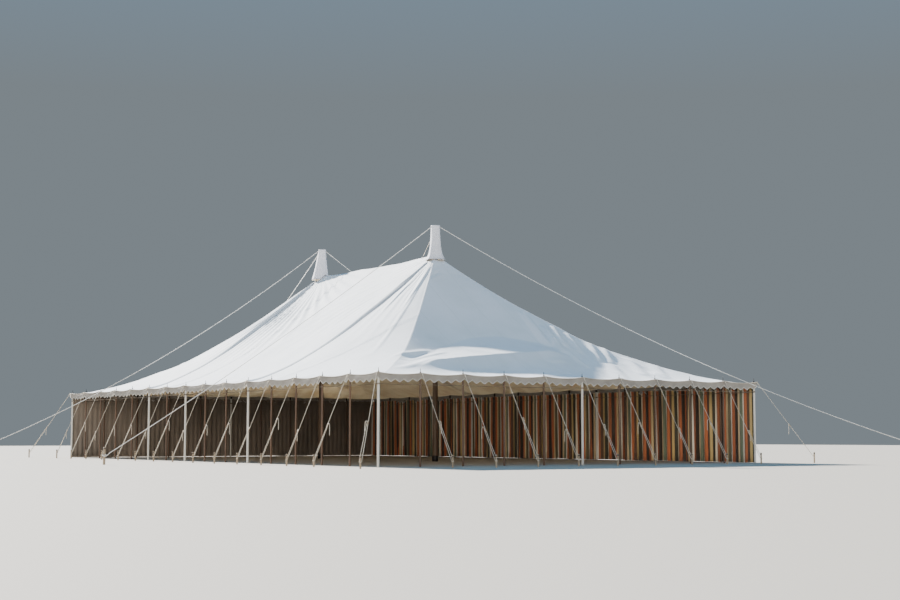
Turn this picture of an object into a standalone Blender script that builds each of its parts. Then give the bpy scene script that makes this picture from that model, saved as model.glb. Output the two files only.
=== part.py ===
# Traditional canvas pole marquee: two king poles, a hipped roof in three laced sections,
# side poles with spikes through the eave, guy ropes to wooden stakes, and hung wall cloths.
# Metres, +Z up. The origin is the middle of the plan on the ground. The ridge runs along X,
# the open long side faces -Y and the near end faces +X.

import math

import bmesh
import bpy
from mathutils import Matrix, Vector

# Plan
SIDE_SPACE = 1.32           # between side poles along the long sides
SIDE_SPACES = 5             # pole spaces in one roof section
END_SPACE = 1.15            # between side poles across the ends
END_SPACES = 10
SECTIONS = ("far", "middle", "near")

# Roof canvas
EAVE_HEIGHT = 2.10
PEAK_HEIGHT = 5.72
RIDGE_SAG = 0.05            # dip of the ridge halfway between the king poles
LACE_POWER = 1.35           # hang of the cloth in line with a king pole
HIP_POWER = 1.68            # hang of the cloth along a hip
END_POWER = 1.50            # hang of the cloth up the middle of an end
CANVAS = 0.012
CROWN_RADIUS = 0.182        # opening in the cloth round a king pole
SLOPE_ROWS = 8
EYELET_CLEARANCE = 0.004
EAVE_BAND = 0.090           # level strip of doubled cloth along the eave, with the eyelets

# Valance
VALANCE_BAND = 0.115
TOOTH_DROP = 0.070
TEETH = 5                   # in each pole space
VALANCE_CLOTH = 0.006

# King poles
KING_HEIGHT = 6.54
KING_FOOT_RADIUS = 0.080
KING_HEAD_RADIUS = 0.055
HEAD_BLOCK_RADIUS = 0.105
HEAD_BLOCK_DEPTH = 0.100
KING_SIDES = 32

# Crown rings that the roof cloth is hoisted on
CROWN_RING_WIRE = 0.012
CROWN_RING_RADIUS = 0.184
HOIST_ROPE_RADIUS = 0.008
HOIST_LEAN = 0.085          # radius at which the hoisting ropes meet the head block
HOIST_ROPES = 4

# Hoods
HOOD_TOP_RADIUS = 0.145
HOOD_WAIST_RADIUS = 0.190
HOOD_HEM_RADIUS = 0.255
HOOD_WAIST_DROP = 0.42      # from the top of the hood down to its waist
HOOD_CLOTH = 0.010
HEM_CLEARANCE = 0.035       # of the hem over the roof cloth
HOOD_SIDES = 16

# Side poles
POLE_RADIUS = 0.024
POLE_INSET = 0.060          # from the edge of the eave to the middle of a side pole
SPIKE_RADIUS = 0.007
SPIKE_STAND = 0.100         # of the spike above the cloth
SPIKE_TANG = 0.060          # of the spike driven into its pole
POLE_SIDES = 6
WALL_ROPE_RADIUS = 0.008
WALL_ROPE_DROP = 0.26       # of the wall rope below the eave
WALL_ROPE_BITE = 0.007      # of the wall rope into the lashing on each pole

# Guy ropes and stakes
GUY_RADIUS = 0.007
BOLT_ROPE_RADIUS = 0.008
SIDE_GUY_REACH = 0.86       # out from the eave to a stake on the long sides
END_GUY_REACH = 1.26
CORNER_GUY_REACH = 1.00     # along and across, from a corner to its stake
STAKE_RADIUS = 0.020
STAKE_HEIGHT = 0.28
TIE_HEIGHT = 0.14           # at which a guy is tied to its stake
SPLICE_ROOM = 0.014         # from the end of a bolt rope to the guy spliced in beside it
ROPE_SIDES = 6

# Storm guys from the king pole heads
STORM_RADIUS = 0.010
STORM_OUT = 11.10           # along X from a king pole to the stake out past its end
STORM_ASIDE = 7.80          # across, from the ridge line to the near pole's back stake
STORM_ACROSS = 11.00        # across, from the ridge line to the far pole's stakes
STORM_FRONT = 9.50          # across, from the ridge line to the near pole's front stake
TAUT_SAG = 0.15
SLACK_SAG = 0.50
STORM_TIE_COVER = 0.040     # from the top of the head block down to the storm guys tied to it
STORM_STAKE_RADIUS = 0.030
STORM_STAKE_HEIGHT = 0.42
STORM_TIE_HEIGHT = 0.20
STORM_POINTS = 7
HOOD_HOLE_CLEARANCE = 0.005

# Wall cloths
WALL_CLOTH = 0.010
WALL_HEM = 0.020            # of the hem above the ground
FOLD_DEPTH = 0.050          # of the folds at the hem
FOLD_COUNT = 2              # in each pole space
FOLD_SEGMENTS = 4           # columns of the mesh in one fold

# Between pieces that touch
GAP = 0.0003
WALL_GAP = 0.0005
MERGE = 0.00005             # distance at which points of one mesh are welded

SECTION_LENGTH = SIDE_SPACE * SIDE_SPACES
HALF_LENGTH = SECTION_LENGTH * len(SECTIONS) / 2
HALF_WIDTH = END_SPACE * END_SPACES / 2
KING_X = SECTION_LENGTH / 2
RISE = PEAK_HEIGHT - EAVE_HEIGHT
HOOD_TOP = KING_HEIGHT + GAP + HOOD_CLOTH
VALANCE_TOP = EAVE_HEIGHT - CANVAS - GAP
POLE_X = HALF_LENGTH - POLE_INSET
POLE_Y = HALF_WIDTH - POLE_INSET
WALL_ROPE_HEIGHT = EAVE_HEIGHT - WALL_ROPE_DROP
SLOPE_LENGTH = SECTION_LENGTH - EAVE_BAND
SLOPE_WIDTH = HALF_WIDTH - EAVE_BAND


def clear_scene():
    for item in list(bpy.data.objects):
        bpy.data.objects.remove(item, do_unlink=True)


def add_collection(name):
    collection = bpy.data.collections.new(name)
    bpy.context.scene.collection.children.link(collection)
    return collection


def make_material(name, colour, roughness, metallic=0.0):
    material = bpy.data.materials.new(name)
    material.use_nodes = True
    shader = material.node_tree.nodes["Principled BSDF"]
    shader.inputs["Base Color"].default_value = (*colour, 1.0)
    shader.inputs["Roughness"].default_value = roughness
    shader.inputs["Metallic"].default_value = metallic
    return material


def add_object(name, shape, material, collection):
    """Make a named object from a finished bmesh."""
    bmesh.ops.recalc_face_normals(shape, faces=shape.faces)
    mesh = bpy.data.meshes.new(name)
    shape.to_mesh(mesh)
    shape.free()
    item = bpy.data.objects.new(name, mesh)
    collection.objects.link(item)
    if material:
        mesh.materials.append(material)
    return item


def as_guide(item):
    item.hide_render = True
    item.display_type = "WIRE"
    return item


def combine(item, other, operation):
    modifier = item.modifiers.new(operation.title(), "BOOLEAN")
    modifier.operation = operation
    modifier.solver = "EXACT"
    modifier.object = as_guide(other)


def add_rod(shape, start, end, radius, sides, twist=0.0):
    """Add a closed round rod between two points."""
    start = Vector(start)
    end = Vector(end)
    span = end - start
    turn = span.to_track_quat("Z", "Y").to_matrix().to_4x4() @ Matrix.Rotation(twist, 4, "Z")
    bmesh.ops.create_cone(
        shape,
        cap_ends=True,
        segments=sides,
        radius1=radius,
        radius2=radius,
        depth=span.length,
        matrix=Matrix.Translation((start + end) / 2) @ turn,
    )


def turned(name, profile, sides, material, collection):
    """Make a closed turned body from its outline, given as (radius, height) pairs."""
    mesh = bpy.data.meshes.new(name)
    points = [(radius, 0, height) for radius, height in profile]
    mesh.from_pydata(points, [(step, step + 1) for step in range(len(points) - 1)], [])
    item = bpy.data.objects.new(name, mesh)
    collection.objects.link(item)
    if material:
        mesh.materials.append(material)
    screw = item.modifiers.new("Turned", "SCREW")
    screw.steps = sides
    screw.render_steps = sides
    screw.use_merge_vertices = True
    screw.merge_threshold = MERGE
    return item


def frozen(item):
    """Swap a modified object or a curve for the closed mesh that it evaluates to."""
    bpy.context.view_layer.update()
    graph = bpy.context.evaluated_depsgraph_get()
    mesh = bpy.data.meshes.new_from_object(item.evaluated_get(graph))
    shape = bmesh.new()
    shape.from_mesh(mesh)
    bmesh.ops.remove_doubles(shape, verts=shape.verts, dist=MERGE)
    shape.transform(item.matrix_world)
    bpy.data.objects.remove(item, do_unlink=True)
    return shape


def rope_shape(points, radius, collection):
    """Closed mesh of a rope that follows the points."""
    curve = bpy.data.curves.new("rope", "CURVE")
    curve.dimensions = "3D"
    curve.bevel_depth = radius
    curve.bevel_resolution = ROPE_SIDES // 2 - 2
    curve.use_fill_caps = True
    spline = curve.splines.new("POLY")
    spline.points.add(len(points) - 1)
    for point, place in zip(spline.points, points):
        point.co = (*place, 1)
    item = bpy.data.objects.new("rope", curve)
    collection.objects.link(item)
    return frozen(item)


def roof_height(x, y):
    """Height of the top of the roof cloth over a point of the plan."""
    along = max(0.0, abs(x) - KING_X) / SLOPE_LENGTH
    across = abs(y) / SLOPE_WIDTH
    if across >= along:
        share = along / across if across else 0.0
        power = LACE_POWER + (HIP_POWER - LACE_POWER) * share ** 2
    else:
        power = END_POWER + (HIP_POWER - END_POWER) * (across / along) ** 2
    dip = RIDGE_SAG * max(0.0, 1 - (x / KING_X) ** 2)
    return EAVE_HEIGHT + (RISE - dip) * (1 - min(1.0, max(along, across))) ** power


def side_pole_xs():
    """Places of the side poles along a long side, corners included."""
    count = SIDE_SPACES * len(SECTIONS)
    places = [-HALF_LENGTH + SIDE_SPACE * step for step in range(count + 1)]
    places[0] = -POLE_X
    places[-1] = POLE_X
    return places


def end_pole_ys():
    """Places of the side poles across an end, between its corners."""
    return [-HALF_WIDTH + END_SPACE * step for step in range(1, END_SPACES)]


def section_pole_xs(section):
    """The long side's poles that go with one section; the last section has both its ends."""
    places = side_pole_xs()
    first = section * SIDE_SPACES
    last = first + SIDE_SPACES + (1 if section == len(SECTIONS) - 1 else 0)
    return places[first:last]


def section_span(section):
    """Start and end of a section along X, with half the gap to each neighbour taken off."""
    start = -HALF_LENGTH + section * SECTION_LENGTH
    end = start + SECTION_LENGTH
    if section > 0:
        start += GAP / 2
    if section < len(SECTIONS) - 1:
        end -= GAP / 2
    return start, end


def thicken_down(shape, thickness):
    """Turn an open sheet into a closed one by dropping a copy of it."""
    lower = bmesh.ops.extrude_face_region(shape, geom=list(shape.faces))["geom"]
    dropped = [item for item in lower if isinstance(item, bmesh.types.BMVert)]
    bmesh.ops.translate(shape, verts=dropped, vec=(0, 0, -thickness))


def middle_sheet():
    """Open sheet of the middle section, over a plain rectangle."""
    shape = bmesh.new()
    columns = SIDE_SPACES * 2
    rows = (SLOPE_ROWS + 1) * 2
    bmesh.ops.create_grid(shape, x_segments=columns, y_segments=rows, size=1)
    start, end = section_span(1)
    for vertex in shape.verts:
        x = start + (end - start) * (vertex.co.x + 1) / 2
        row = round(vertex.co.y * (SLOPE_ROWS + 1))
        y = SLOPE_WIDTH * row / SLOPE_ROWS
        if abs(row) > SLOPE_ROWS:
            y = math.copysign(HALF_WIDTH, row)
        vertex.co = (x, y, roof_height(x, y))
    return shape


def rim_point(station):
    """Point of the +X end section's edge, counted in pole spaces from its front lace foot."""
    if station <= SIDE_SPACES:
        return SIDE_SPACE * station, -HALF_WIDTH
    station -= SIDE_SPACES
    if station <= END_SPACES:
        return SECTION_LENGTH, -HALF_WIDTH + END_SPACE * station
    station -= END_SPACES
    return SECTION_LENGTH - SIDE_SPACE * station, HALF_WIDTH


def end_sheet(facing):
    """Open sheet of an end section, in rings round the foot of its king pole."""
    shape = bmesh.new()
    columns = SIDE_SPACES * 2 + END_SPACES
    rows = SLOPE_ROWS + 1
    bmesh.ops.create_grid(shape, x_segments=columns, y_segments=rows, size=1)
    for vertex in shape.verts:
        out, aside = rim_point(columns * (vertex.co.x + 1) / 2)
        row = round(rows * (vertex.co.y + 1) / 2)
        seam = GAP / 2 * (1 - out / SECTION_LENGTH)
        if row <= SLOPE_ROWS:
            out *= SLOPE_LENGTH / SECTION_LENGTH * row / SLOPE_ROWS
            aside *= SLOPE_WIDTH / HALF_WIDTH * row / SLOPE_ROWS
        x = KING_X + out
        vertex.co = (facing * (x + seam), aside, roof_height(x, aside))
    bmesh.ops.remove_doubles(shape, verts=shape.verts, dist=0.0001)
    return shape


def roof_cutters(collection):
    """One guide for every place where a pole or a spike comes through the roof cloth."""
    shape = bmesh.new()
    for side in (-1, 1):
        add_rod(
            shape,
            (side * KING_X, 0, EAVE_HEIGHT + RISE / 2),
            (side * KING_X, 0, KING_HEIGHT),
            CROWN_RADIUS,
            HOOD_SIDES,
            math.pi / HOOD_SIDES,
        )
    hole = SPIKE_RADIUS + EYELET_CLEARANCE
    spots = [(x, side * POLE_Y) for side in (-1, 1) for x in side_pole_xs()]
    spots += [(side * POLE_X, y) for side in (-1, 1) for y in end_pole_ys()]
    for x, y in spots:
        low = (x, y, EAVE_HEIGHT - SPIKE_STAND)
        add_rod(shape, low, (x, y, EAVE_HEIGHT + SPIKE_STAND), hole, POLE_SIDES)
    return as_guide(add_object("roof_holes", shape, None, collection))


def build_roof(parts, guides, canvas):
    holes = roof_cutters(guides)
    sheets = {
        "roof_far_end": end_sheet(-1),
        "roof_middle": middle_sheet(),
        "roof_near_end": end_sheet(1),
    }
    for name, shape in sheets.items():
        thicken_down(shape, CANVAS)
        combine(add_object(name, shape, canvas, parts), holes, "DIFFERENCE")


def zigzag(start, end, teeth):
    """Outline of a length of valance, from its top edge down round its teeth."""
    points = [(end, 0.0), (start, 0.0), (start, -VALANCE_BAND)]
    pitch = (end - start) / teeth
    for tooth in range(teeth):
        points.append((start + pitch * (tooth + 0.5), -VALANCE_BAND - TOOTH_DROP))
        points.append((start + pitch * (tooth + 1), -VALANCE_BAND))
    return points


def add_valance(name, points, place, turn, material, collection):
    curve = bpy.data.curves.new(name, "CURVE")
    curve.dimensions = "2D"
    curve.fill_mode = "BOTH"
    curve.extrude = VALANCE_CLOTH / 2
    spline = curve.splines.new("POLY")
    spline.points.add(len(points) - 1)
    for point, (x, y) in zip(spline.points, points):
        point.co = (x, y, 0, 1)
    spline.use_cyclic_u = True
    curve.materials.append(material)
    item = bpy.data.objects.new(name, curve)
    item.rotation_euler = (math.pi / 2, 0, turn)
    item.location = place
    collection.objects.link(item)


def build_valances(parts, cloth):
    middle = VALANCE_CLOTH / 2
    for section, label in enumerate(SECTIONS):
        start, end = section_span(section)
        points = zigzag(start, end, TEETH * SIDE_SPACES)
        for side, word in ((-1, "front"), (1, "back")):
            place = (0, side * (HALF_WIDTH - middle), VALANCE_TOP)
            add_valance(f"valance_{word}_{label}", points, place, 0, cloth, parts)
    reach = HALF_WIDTH - VALANCE_CLOTH - GAP
    points = zigzag(-reach, reach, TEETH * END_SPACES)
    for side, word in ((-1, "far"), (1, "near")):
        place = (side * (HALF_LENGTH - middle), 0, VALANCE_TOP)
        add_valance(f"valance_{word}_end", points, place, math.pi / 2, cloth, parts)


def build_king_pole(name, x, parts, wood):
    block = KING_HEIGHT - HEAD_BLOCK_DEPTH
    profile = [
        (0, KING_HEIGHT),
        (HEAD_BLOCK_RADIUS, KING_HEIGHT),
        (HEAD_BLOCK_RADIUS, block),
        (KING_HEAD_RADIUS, block),
        (KING_FOOT_RADIUS, 0),
        (0, 0),
    ]
    pole = turned(name, profile, KING_SIDES, wood, parts)
    pole.location = (x, 0, 0)


def crown_ring_height():
    """Height at which the wire of the ring lies just under the cloth beside the pole."""
    run = SLOPE_WIDTH / SLOPE_ROWS
    fall = (PEAK_HEIGHT - roof_height(KING_X, run)) / run
    seats = []
    for step in range(ROPE_SIDES):
        turn = math.tau * step / ROPE_SIDES
        reach = CROWN_RING_RADIUS + CROWN_RING_WIRE * math.cos(turn)
        seats.append(PEAK_HEIGHT - fall * reach - CANVAS - CROWN_RING_WIRE * math.sin(turn))
    return min(seats) - GAP


def build_crown_ring(name, x, parts, guides, iron):
    """Iron ring round the king pole, with the ropes that hoist it to the head block."""
    height = crown_ring_height()
    bpy.ops.mesh.primitive_torus_add(
        major_radius=CROWN_RING_RADIUS,
        minor_radius=CROWN_RING_WIRE,
        major_segments=HOOD_SIDES,
        minor_segments=ROPE_SIDES,
        location=(x, 0, height),
    )
    torus = bpy.context.active_object
    ring = add_object(name, frozen(torus), iron, parts)
    ropes = bmesh.new()
    block = KING_HEIGHT - HEAD_BLOCK_DEPTH - GAP
    eye = CROWN_RING_RADIUS - CROWN_RING_WIRE
    lean = (eye - HOIST_LEAN) / (block - height)
    block -= HOIST_ROPE_RADIUS * lean
    for step in range(HOIST_ROPES):
        turn = math.tau * (step + 0.5) / HOIST_ROPES
        out = Vector((math.cos(turn), math.sin(turn), 0))
        low = Vector((x, 0, height)) + out * eye
        high = Vector((x, 0, block)) + out * HOIST_LEAN
        add_rod(ropes, low, high, HOIST_ROPE_RADIUS, ROPE_SIDES)
    combine(ring, add_object(f"{name}_ropes", ropes, None, guides), "UNION")


def storm_targets(side):
    """Ground points and sags of the storm guys of the king pole on one side, with their names."""
    if side < 0:
        return {
            "end": (-KING_X - STORM_OUT, 0, TAUT_SAG),
            "front": (-KING_X, -STORM_ACROSS, SLACK_SAG),
            "back": (-KING_X, STORM_ACROSS, TAUT_SAG),
        }
    return {
        "front": (KING_X, -STORM_FRONT, TAUT_SAG),
        "back": (KING_X + STORM_OUT, STORM_ASIDE, SLACK_SAG),
    }


def storm_route(side, target):
    """Points of a storm guy from the rim of the head block to its stake."""
    sag = target[2]
    head = Vector((side * KING_X, 0, KING_HEIGHT - STORM_TIE_COVER - STORM_RADIUS))
    foot = Vector((target[0], target[1], STORM_TIE_HEIGHT))
    level = Vector((foot.x - head.x, foot.y - head.y, 0))
    fall = (head.z - foot.z + sag * 4) / level.length
    cut = STORM_RADIUS * math.sin(math.atan(fall)) * math.cos(math.pi / ROPE_SIDES)
    head += level.normalized() * (HEAD_BLOCK_RADIUS + GAP + cut)
    points = []
    for step in range(STORM_POINTS):
        share = step / (STORM_POINTS - 1)
        point = head.lerp(foot, share)
        point.z -= sag * 4 * share * (1 - share)
        points.append(point)
    return points


def build_storm_guys(side, word, parts, guides, rope):
    for label, target in storm_targets(side).items():
        shape = rope_shape(storm_route(side, target), STORM_RADIUS, guides)
        name = f"storm_guy_{word}_{label}"
        guy = add_object(name, shape, rope, parts)
        stake = bmesh.new()
        low = (target[0], target[1], 0)
        high = (target[0], target[1], STORM_STAKE_HEIGHT)
        add_rod(stake, low, high, STORM_STAKE_RADIUS, POLE_SIDES)
        combine(guy, add_object(f"{name}_stake", stake, None, guides), "UNION")


def build_hood(name, side, parts, guides, cloth):
    """Canvas hood over a king pole's head, its hem lying along the roof."""
    hem = PEAK_HEIGHT + HEM_CLEARANCE
    profile = [
        (0, HOOD_TOP),
        (HOOD_TOP_RADIUS, HOOD_TOP),
        (HOOD_WAIST_RADIUS, HOOD_TOP - HOOD_WAIST_DROP),
        (HOOD_HEM_RADIUS, hem),
    ]
    shape = frozen(turned(name, profile, HOOD_SIDES, None, guides))
    for vertex in shape.verts:
        vertex.co.x += side * KING_X
        if vertex.co.z < hem + GAP:
            vertex.co.z = roof_height(vertex.co.x, vertex.co.y) + HEM_CLEARANCE
    hood = add_object(name, shape, cloth, parts)
    solid = hood.modifiers.new("Cloth", "SOLIDIFY")
    solid.thickness = HOOD_CLOTH
    solid.offset = -1
    solid.use_even_offset = True
    holes = bmesh.new()
    for target in storm_targets(side).values():
        route = storm_route(side, target)
        add_rod(holes, route[0], route[1], STORM_RADIUS + HOOD_HOLE_CLEARANCE, POLE_SIDES)
    combine(hood, add_object(f"{name}_holes", holes, None, guides), "DIFFERENCE")


def build_pole_row(name, spots, rope_start, rope_end, parts, guides, wood):
    """Side poles that share a node, lashed to the wall rope that runs along their outside."""
    rope = bmesh.new()
    add_rod(rope, rope_start, rope_end, WALL_ROPE_RADIUS, ROPE_SIDES)
    row = add_object(name, rope, wood, parts)
    poles = bmesh.new()
    spikes = bmesh.new()
    shoulder = EAVE_HEIGHT - CANVAS - GAP
    tip = EAVE_HEIGHT + SPIKE_STAND
    for x, y in spots:
        add_rod(poles, (x, y, 0), (x, y, shoulder), POLE_RADIUS, POLE_SIDES)
        add_rod(spikes, (x, y, shoulder - SPIKE_TANG), (x, y, tip), SPIKE_RADIUS, POLE_SIDES)
    combine(row, add_object(f"{name}_poles", poles, None, guides), "UNION")
    combine(row, add_object(f"{name}_spikes", spikes, None, guides), "UNION")


def build_side_poles(parts, guides, wood):
    out = POLE_RADIUS + WALL_ROPE_RADIUS - WALL_ROPE_BITE
    last = len(SECTIONS) - 1
    for section, label in enumerate(SECTIONS):
        xs = section_pole_xs(section)
        start = xs[0]
        end = xs[-1] if section == last else section_pole_xs(section + 1)[0]
        end -= 0 if section == last else POLE_RADIUS + WALL_ROPE_RADIUS
        for side, word in ((-1, "front"), (1, "back")):
            y = side * (POLE_Y + out)
            spots = [(x, side * POLE_Y) for x in xs]
            low = (start, y, WALL_ROPE_HEIGHT)
            high = (end, y, WALL_ROPE_HEIGHT)
            build_pole_row(f"side_poles_{word}_{label}", spots, low, high, parts, guides, wood)
    reach = POLE_Y - POLE_RADIUS - GAP
    for side, word in ((-1, "far"), (1, "near")):
        x = side * (POLE_X + out)
        spots = [(side * POLE_X, y) for y in end_pole_ys()]
        low = (x, -reach, WALL_ROPE_HEIGHT)
        high = (x, reach, WALL_ROPE_HEIGHT)
        build_pole_row(f"side_poles_{word}_end", spots, low, high, parts, guides, wood)


def build_guy_row(name, ties, bolt_start, bolt_end, parts, guides, rope):
    """Guy ropes that share a node, spliced to the bolt rope along the edge of the eave."""
    bolt = bmesh.new()
    add_rod(bolt, bolt_start, bolt_end, BOLT_ROPE_RADIUS, ROPE_SIDES)
    row = add_object(name, bolt, rope, parts)
    guys = bmesh.new()
    stakes = bmesh.new()
    for start, foot in ties:
        add_rod(guys, start, (foot[0], foot[1], TIE_HEIGHT), GUY_RADIUS, ROPE_SIDES)
        low = (foot[0], foot[1], 0)
        add_rod(stakes, low, (foot[0], foot[1], STAKE_HEIGHT), STAKE_RADIUS, POLE_SIDES)
    combine(row, add_object(f"{name}_ropes", guys, None, guides), "UNION")
    combine(row, add_object(f"{name}_stakes", stakes, None, guides), "UNION")


def build_guys(parts, guides, rope):
    bolt_height = EAVE_HEIGHT - CANVAS / 2
    out = GAP + BOLT_ROPE_RADIUS * math.cos(math.pi / ROPE_SIDES)
    for section, label in enumerate(SECTIONS):
        start, end = section_span(section)
        for side, word in ((-1, "front"), (1, "back")):
            y = side * (HALF_WIDTH + out)
            ties = []
            for x in section_pole_xs(section):
                foot_x = x
                reach = SIDE_GUY_REACH
                tie_x = x
                if abs(x) == POLE_X:
                    facing = math.copysign(1, x)
                    tie_x = facing * (HALF_LENGTH - SPLICE_ROOM)
                    foot_x = facing * (HALF_LENGTH + CORNER_GUY_REACH)
                    reach = CORNER_GUY_REACH
                elif x == section_pole_xs(section)[0]:
                    tie_x += SPLICE_ROOM
                ties.append(((tie_x, y, bolt_height), (foot_x, side * (HALF_WIDTH + reach))))
            low = (start, y, bolt_height)
            high = (end, y, bolt_height)
            build_guy_row(f"guys_{word}_{label}", ties, low, high, parts, guides, rope)
    for side, word in ((-1, "far"), (1, "near")):
        x = side * (HALF_LENGTH + out)
        foot = side * (HALF_LENGTH + END_GUY_REACH)
        ties = [((x, y, bolt_height), (foot, y)) for y in end_pole_ys()]
        low = (x, -HALF_WIDTH, bolt_height)
        high = (x, HALF_WIDTH, bolt_height)
        build_guy_row(f"guys_{word}_end", ties, low, high, parts, guides, rope)


def add_wall(name, start, end, spaces, place, parts, cloth):
    """Cloth hung under a wall rope. place(along, out, height) gives a point in the tent."""
    shape = bmesh.new()
    columns = spaces * FOLD_COUNT * FOLD_SEGMENTS
    bmesh.ops.create_grid(shape, x_segments=columns, y_segments=1, size=1)
    top = WALL_ROPE_HEIGHT - WALL_ROPE_RADIUS - GAP
    for vertex in shape.verts:
        step = columns * (vertex.co.x + 1) / 2
        low = (1 - vertex.co.y) / 2
        wave = (1 - math.cos(math.tau * step / FOLD_SEGMENTS)) / 2
        along = start + (end - start) * step / columns
        height = top + (WALL_HEM - top) * low
        vertex.co = place(along, FOLD_DEPTH * wave * low, height)
    outer = bmesh.ops.extrude_face_region(shape, geom=list(shape.faces))["geom"]
    moved = [item for item in outer if isinstance(item, bmesh.types.BMVert)]
    outward = Vector(place(0, WALL_CLOTH, 0)) - Vector(place(0, 0, 0))
    bmesh.ops.translate(shape, verts=moved, vec=outward)
    add_object(name, shape, cloth, parts)


def build_walls(parts, cloth):
    face = POLE_RADIUS + WALL_GAP
    last = len(SECTIONS) - 1

    def back_place(along, out, height):
        return along, POLE_Y + face + out, height

    def end_place(along, out, height):
        return -(POLE_X + face + out), along, height

    for section, label in enumerate(SECTIONS):
        start, end = section_span(section)
        start = -POLE_X if section == 0 else start
        end = POLE_X if section == last else end
        add_wall(f"wall_back_{label}", start, end, SIDE_SPACES, back_place, parts, cloth)
    reach = POLE_Y
    add_wall("wall_far_end", -reach, reach, END_SPACES, end_place, parts, cloth)


def build_marquee():
    clear_scene()
    parts = add_collection("marquee_tent")
    guides = add_collection("cutters")
    canvas = make_material("white_canvas", (0.86, 0.88, 0.90), 0.85)
    hood_cloth = make_material("hood_canvas", (0.84, 0.84, 0.88), 0.85)
    valance_cloth = make_material("valance_canvas", (0.72, 0.73, 0.75), 0.85)
    brown_wood = make_material("brown_wood", (0.16, 0.09, 0.05), 0.65)
    king_wood = make_material("king_pole_wood", (0.30, 0.20, 0.12), 0.60)
    rope = make_material("cream_rope", (0.62, 0.55, 0.44), 0.90)
    iron = make_material("dark_iron", (0.03, 0.03, 0.03), 0.50, 0.8)
    wall_cloth = make_material("wall_cloth", (0.33, 0.24, 0.17), 0.90)
    build_roof(parts, guides, canvas)
    build_valances(parts, valance_cloth)
    for side, word in ((-1, "far"), (1, "near")):
        build_king_pole(f"king_pole_{word}", side * KING_X, parts, king_wood)
        build_crown_ring(f"crown_ring_{word}", side * KING_X, parts, guides, iron)
        build_storm_guys(side, word, parts, guides, rope)
        build_hood(f"hood_{word}", side, parts, guides, hood_cloth)
    build_side_poles(parts, guides, brown_wood)
    build_guys(parts, guides, rope)
    build_walls(parts, wall_cloth)


build_marquee()
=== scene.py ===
import math

import bmesh
import bpy
import numpy as np
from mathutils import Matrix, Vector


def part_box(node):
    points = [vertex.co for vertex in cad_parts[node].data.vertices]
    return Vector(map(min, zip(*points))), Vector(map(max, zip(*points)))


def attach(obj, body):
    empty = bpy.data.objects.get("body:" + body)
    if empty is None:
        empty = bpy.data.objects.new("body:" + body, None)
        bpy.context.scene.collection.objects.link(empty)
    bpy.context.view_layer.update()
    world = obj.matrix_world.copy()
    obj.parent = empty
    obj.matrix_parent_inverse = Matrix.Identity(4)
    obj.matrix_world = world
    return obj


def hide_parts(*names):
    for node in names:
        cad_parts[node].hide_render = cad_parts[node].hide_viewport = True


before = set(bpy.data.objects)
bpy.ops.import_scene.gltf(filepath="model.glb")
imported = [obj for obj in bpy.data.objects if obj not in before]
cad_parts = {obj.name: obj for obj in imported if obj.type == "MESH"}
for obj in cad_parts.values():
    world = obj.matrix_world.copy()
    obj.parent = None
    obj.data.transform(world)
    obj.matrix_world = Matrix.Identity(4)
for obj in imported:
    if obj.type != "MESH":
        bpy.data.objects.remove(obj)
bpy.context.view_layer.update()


# Camera: it stands off the near front corner, low down and with a short telephoto lens, so that
# the open long side of the tent runs away to the left.
CAMERA_PLACE = (38.802, -22.817, 0.655)
CAMERA_TURN = 146.717       # degrees from +X to the line of sight, seen from above
CAMERA_TILT = 5.156         # degrees above the level
CAMERA_LENS = 60.95         # millimetres, on a sensor 36 mm wide

camera = bpy.data.objects.new("camera", bpy.data.cameras.new("camera"))
bpy.context.scene.collection.objects.link(camera)
camera.location = CAMERA_PLACE
camera.rotation_euler = (math.radians(90 + CAMERA_TILT), 0, math.radians(CAMERA_TURN - 90))
camera.data.lens = CAMERA_LENS
camera.data.sensor_width = 36
camera.data.clip_end = 400
bpy.context.scene.camera = camera


# King poles: two tapered softwood spars, oiled and worn, each in two lengths that meet in an iron
# sleeve. They have an iron shoe at the foot and a shrunk band under the turned head block.
SPAR_FOOT_RADIUS = 0.080
SPAR_HEAD_RADIUS = 0.055
SPAR_NECK = 6.44            # height at which the spar enters its head block
BAND_PROUD = 0.004
BAND_LET_IN = 0.002         # of a band into its spar
BAND_BEVEL = (0.002, 0.003) # in from its face, and along the spar
BAND_SPANS = {"shoe": (0.0, 0.16), "sleeve": (2.95, 3.35), "neck": (6.34, 6.43)}
CLEAT_HEIGHT = 1.25
CLEAT_OUT = 0.018           # from the spar to the middle of its cleat
CLEAT_HORN = [(0.016, -0.04), (0.020, 0.0), (0.017, 0.12), (0.006, 0.12)]     # radius, way out
CLEAT_SWELL = 1.2           # across the spar, of what is turned round
LATHE_SIDES = 24
GRAIN_SCALE = 9.0           # of the growth lines in the timber, to a metre

spar_low, spar_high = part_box("king_pole_near")
KING_X = (spar_low.x + spar_high.x) / 2
KING_POLES = (("near", 1), ("far", -1))


def written_as(operation, swapped=False):
    """A method that turns a sum on a tone into a Math node."""
    def method(tone, other=0.0):
        first, second = (other, tone) if swapped else (tone, other)
        return tone.finish.add("Math", {"operation": operation}, {0: first, 1: second})
    return method


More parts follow.
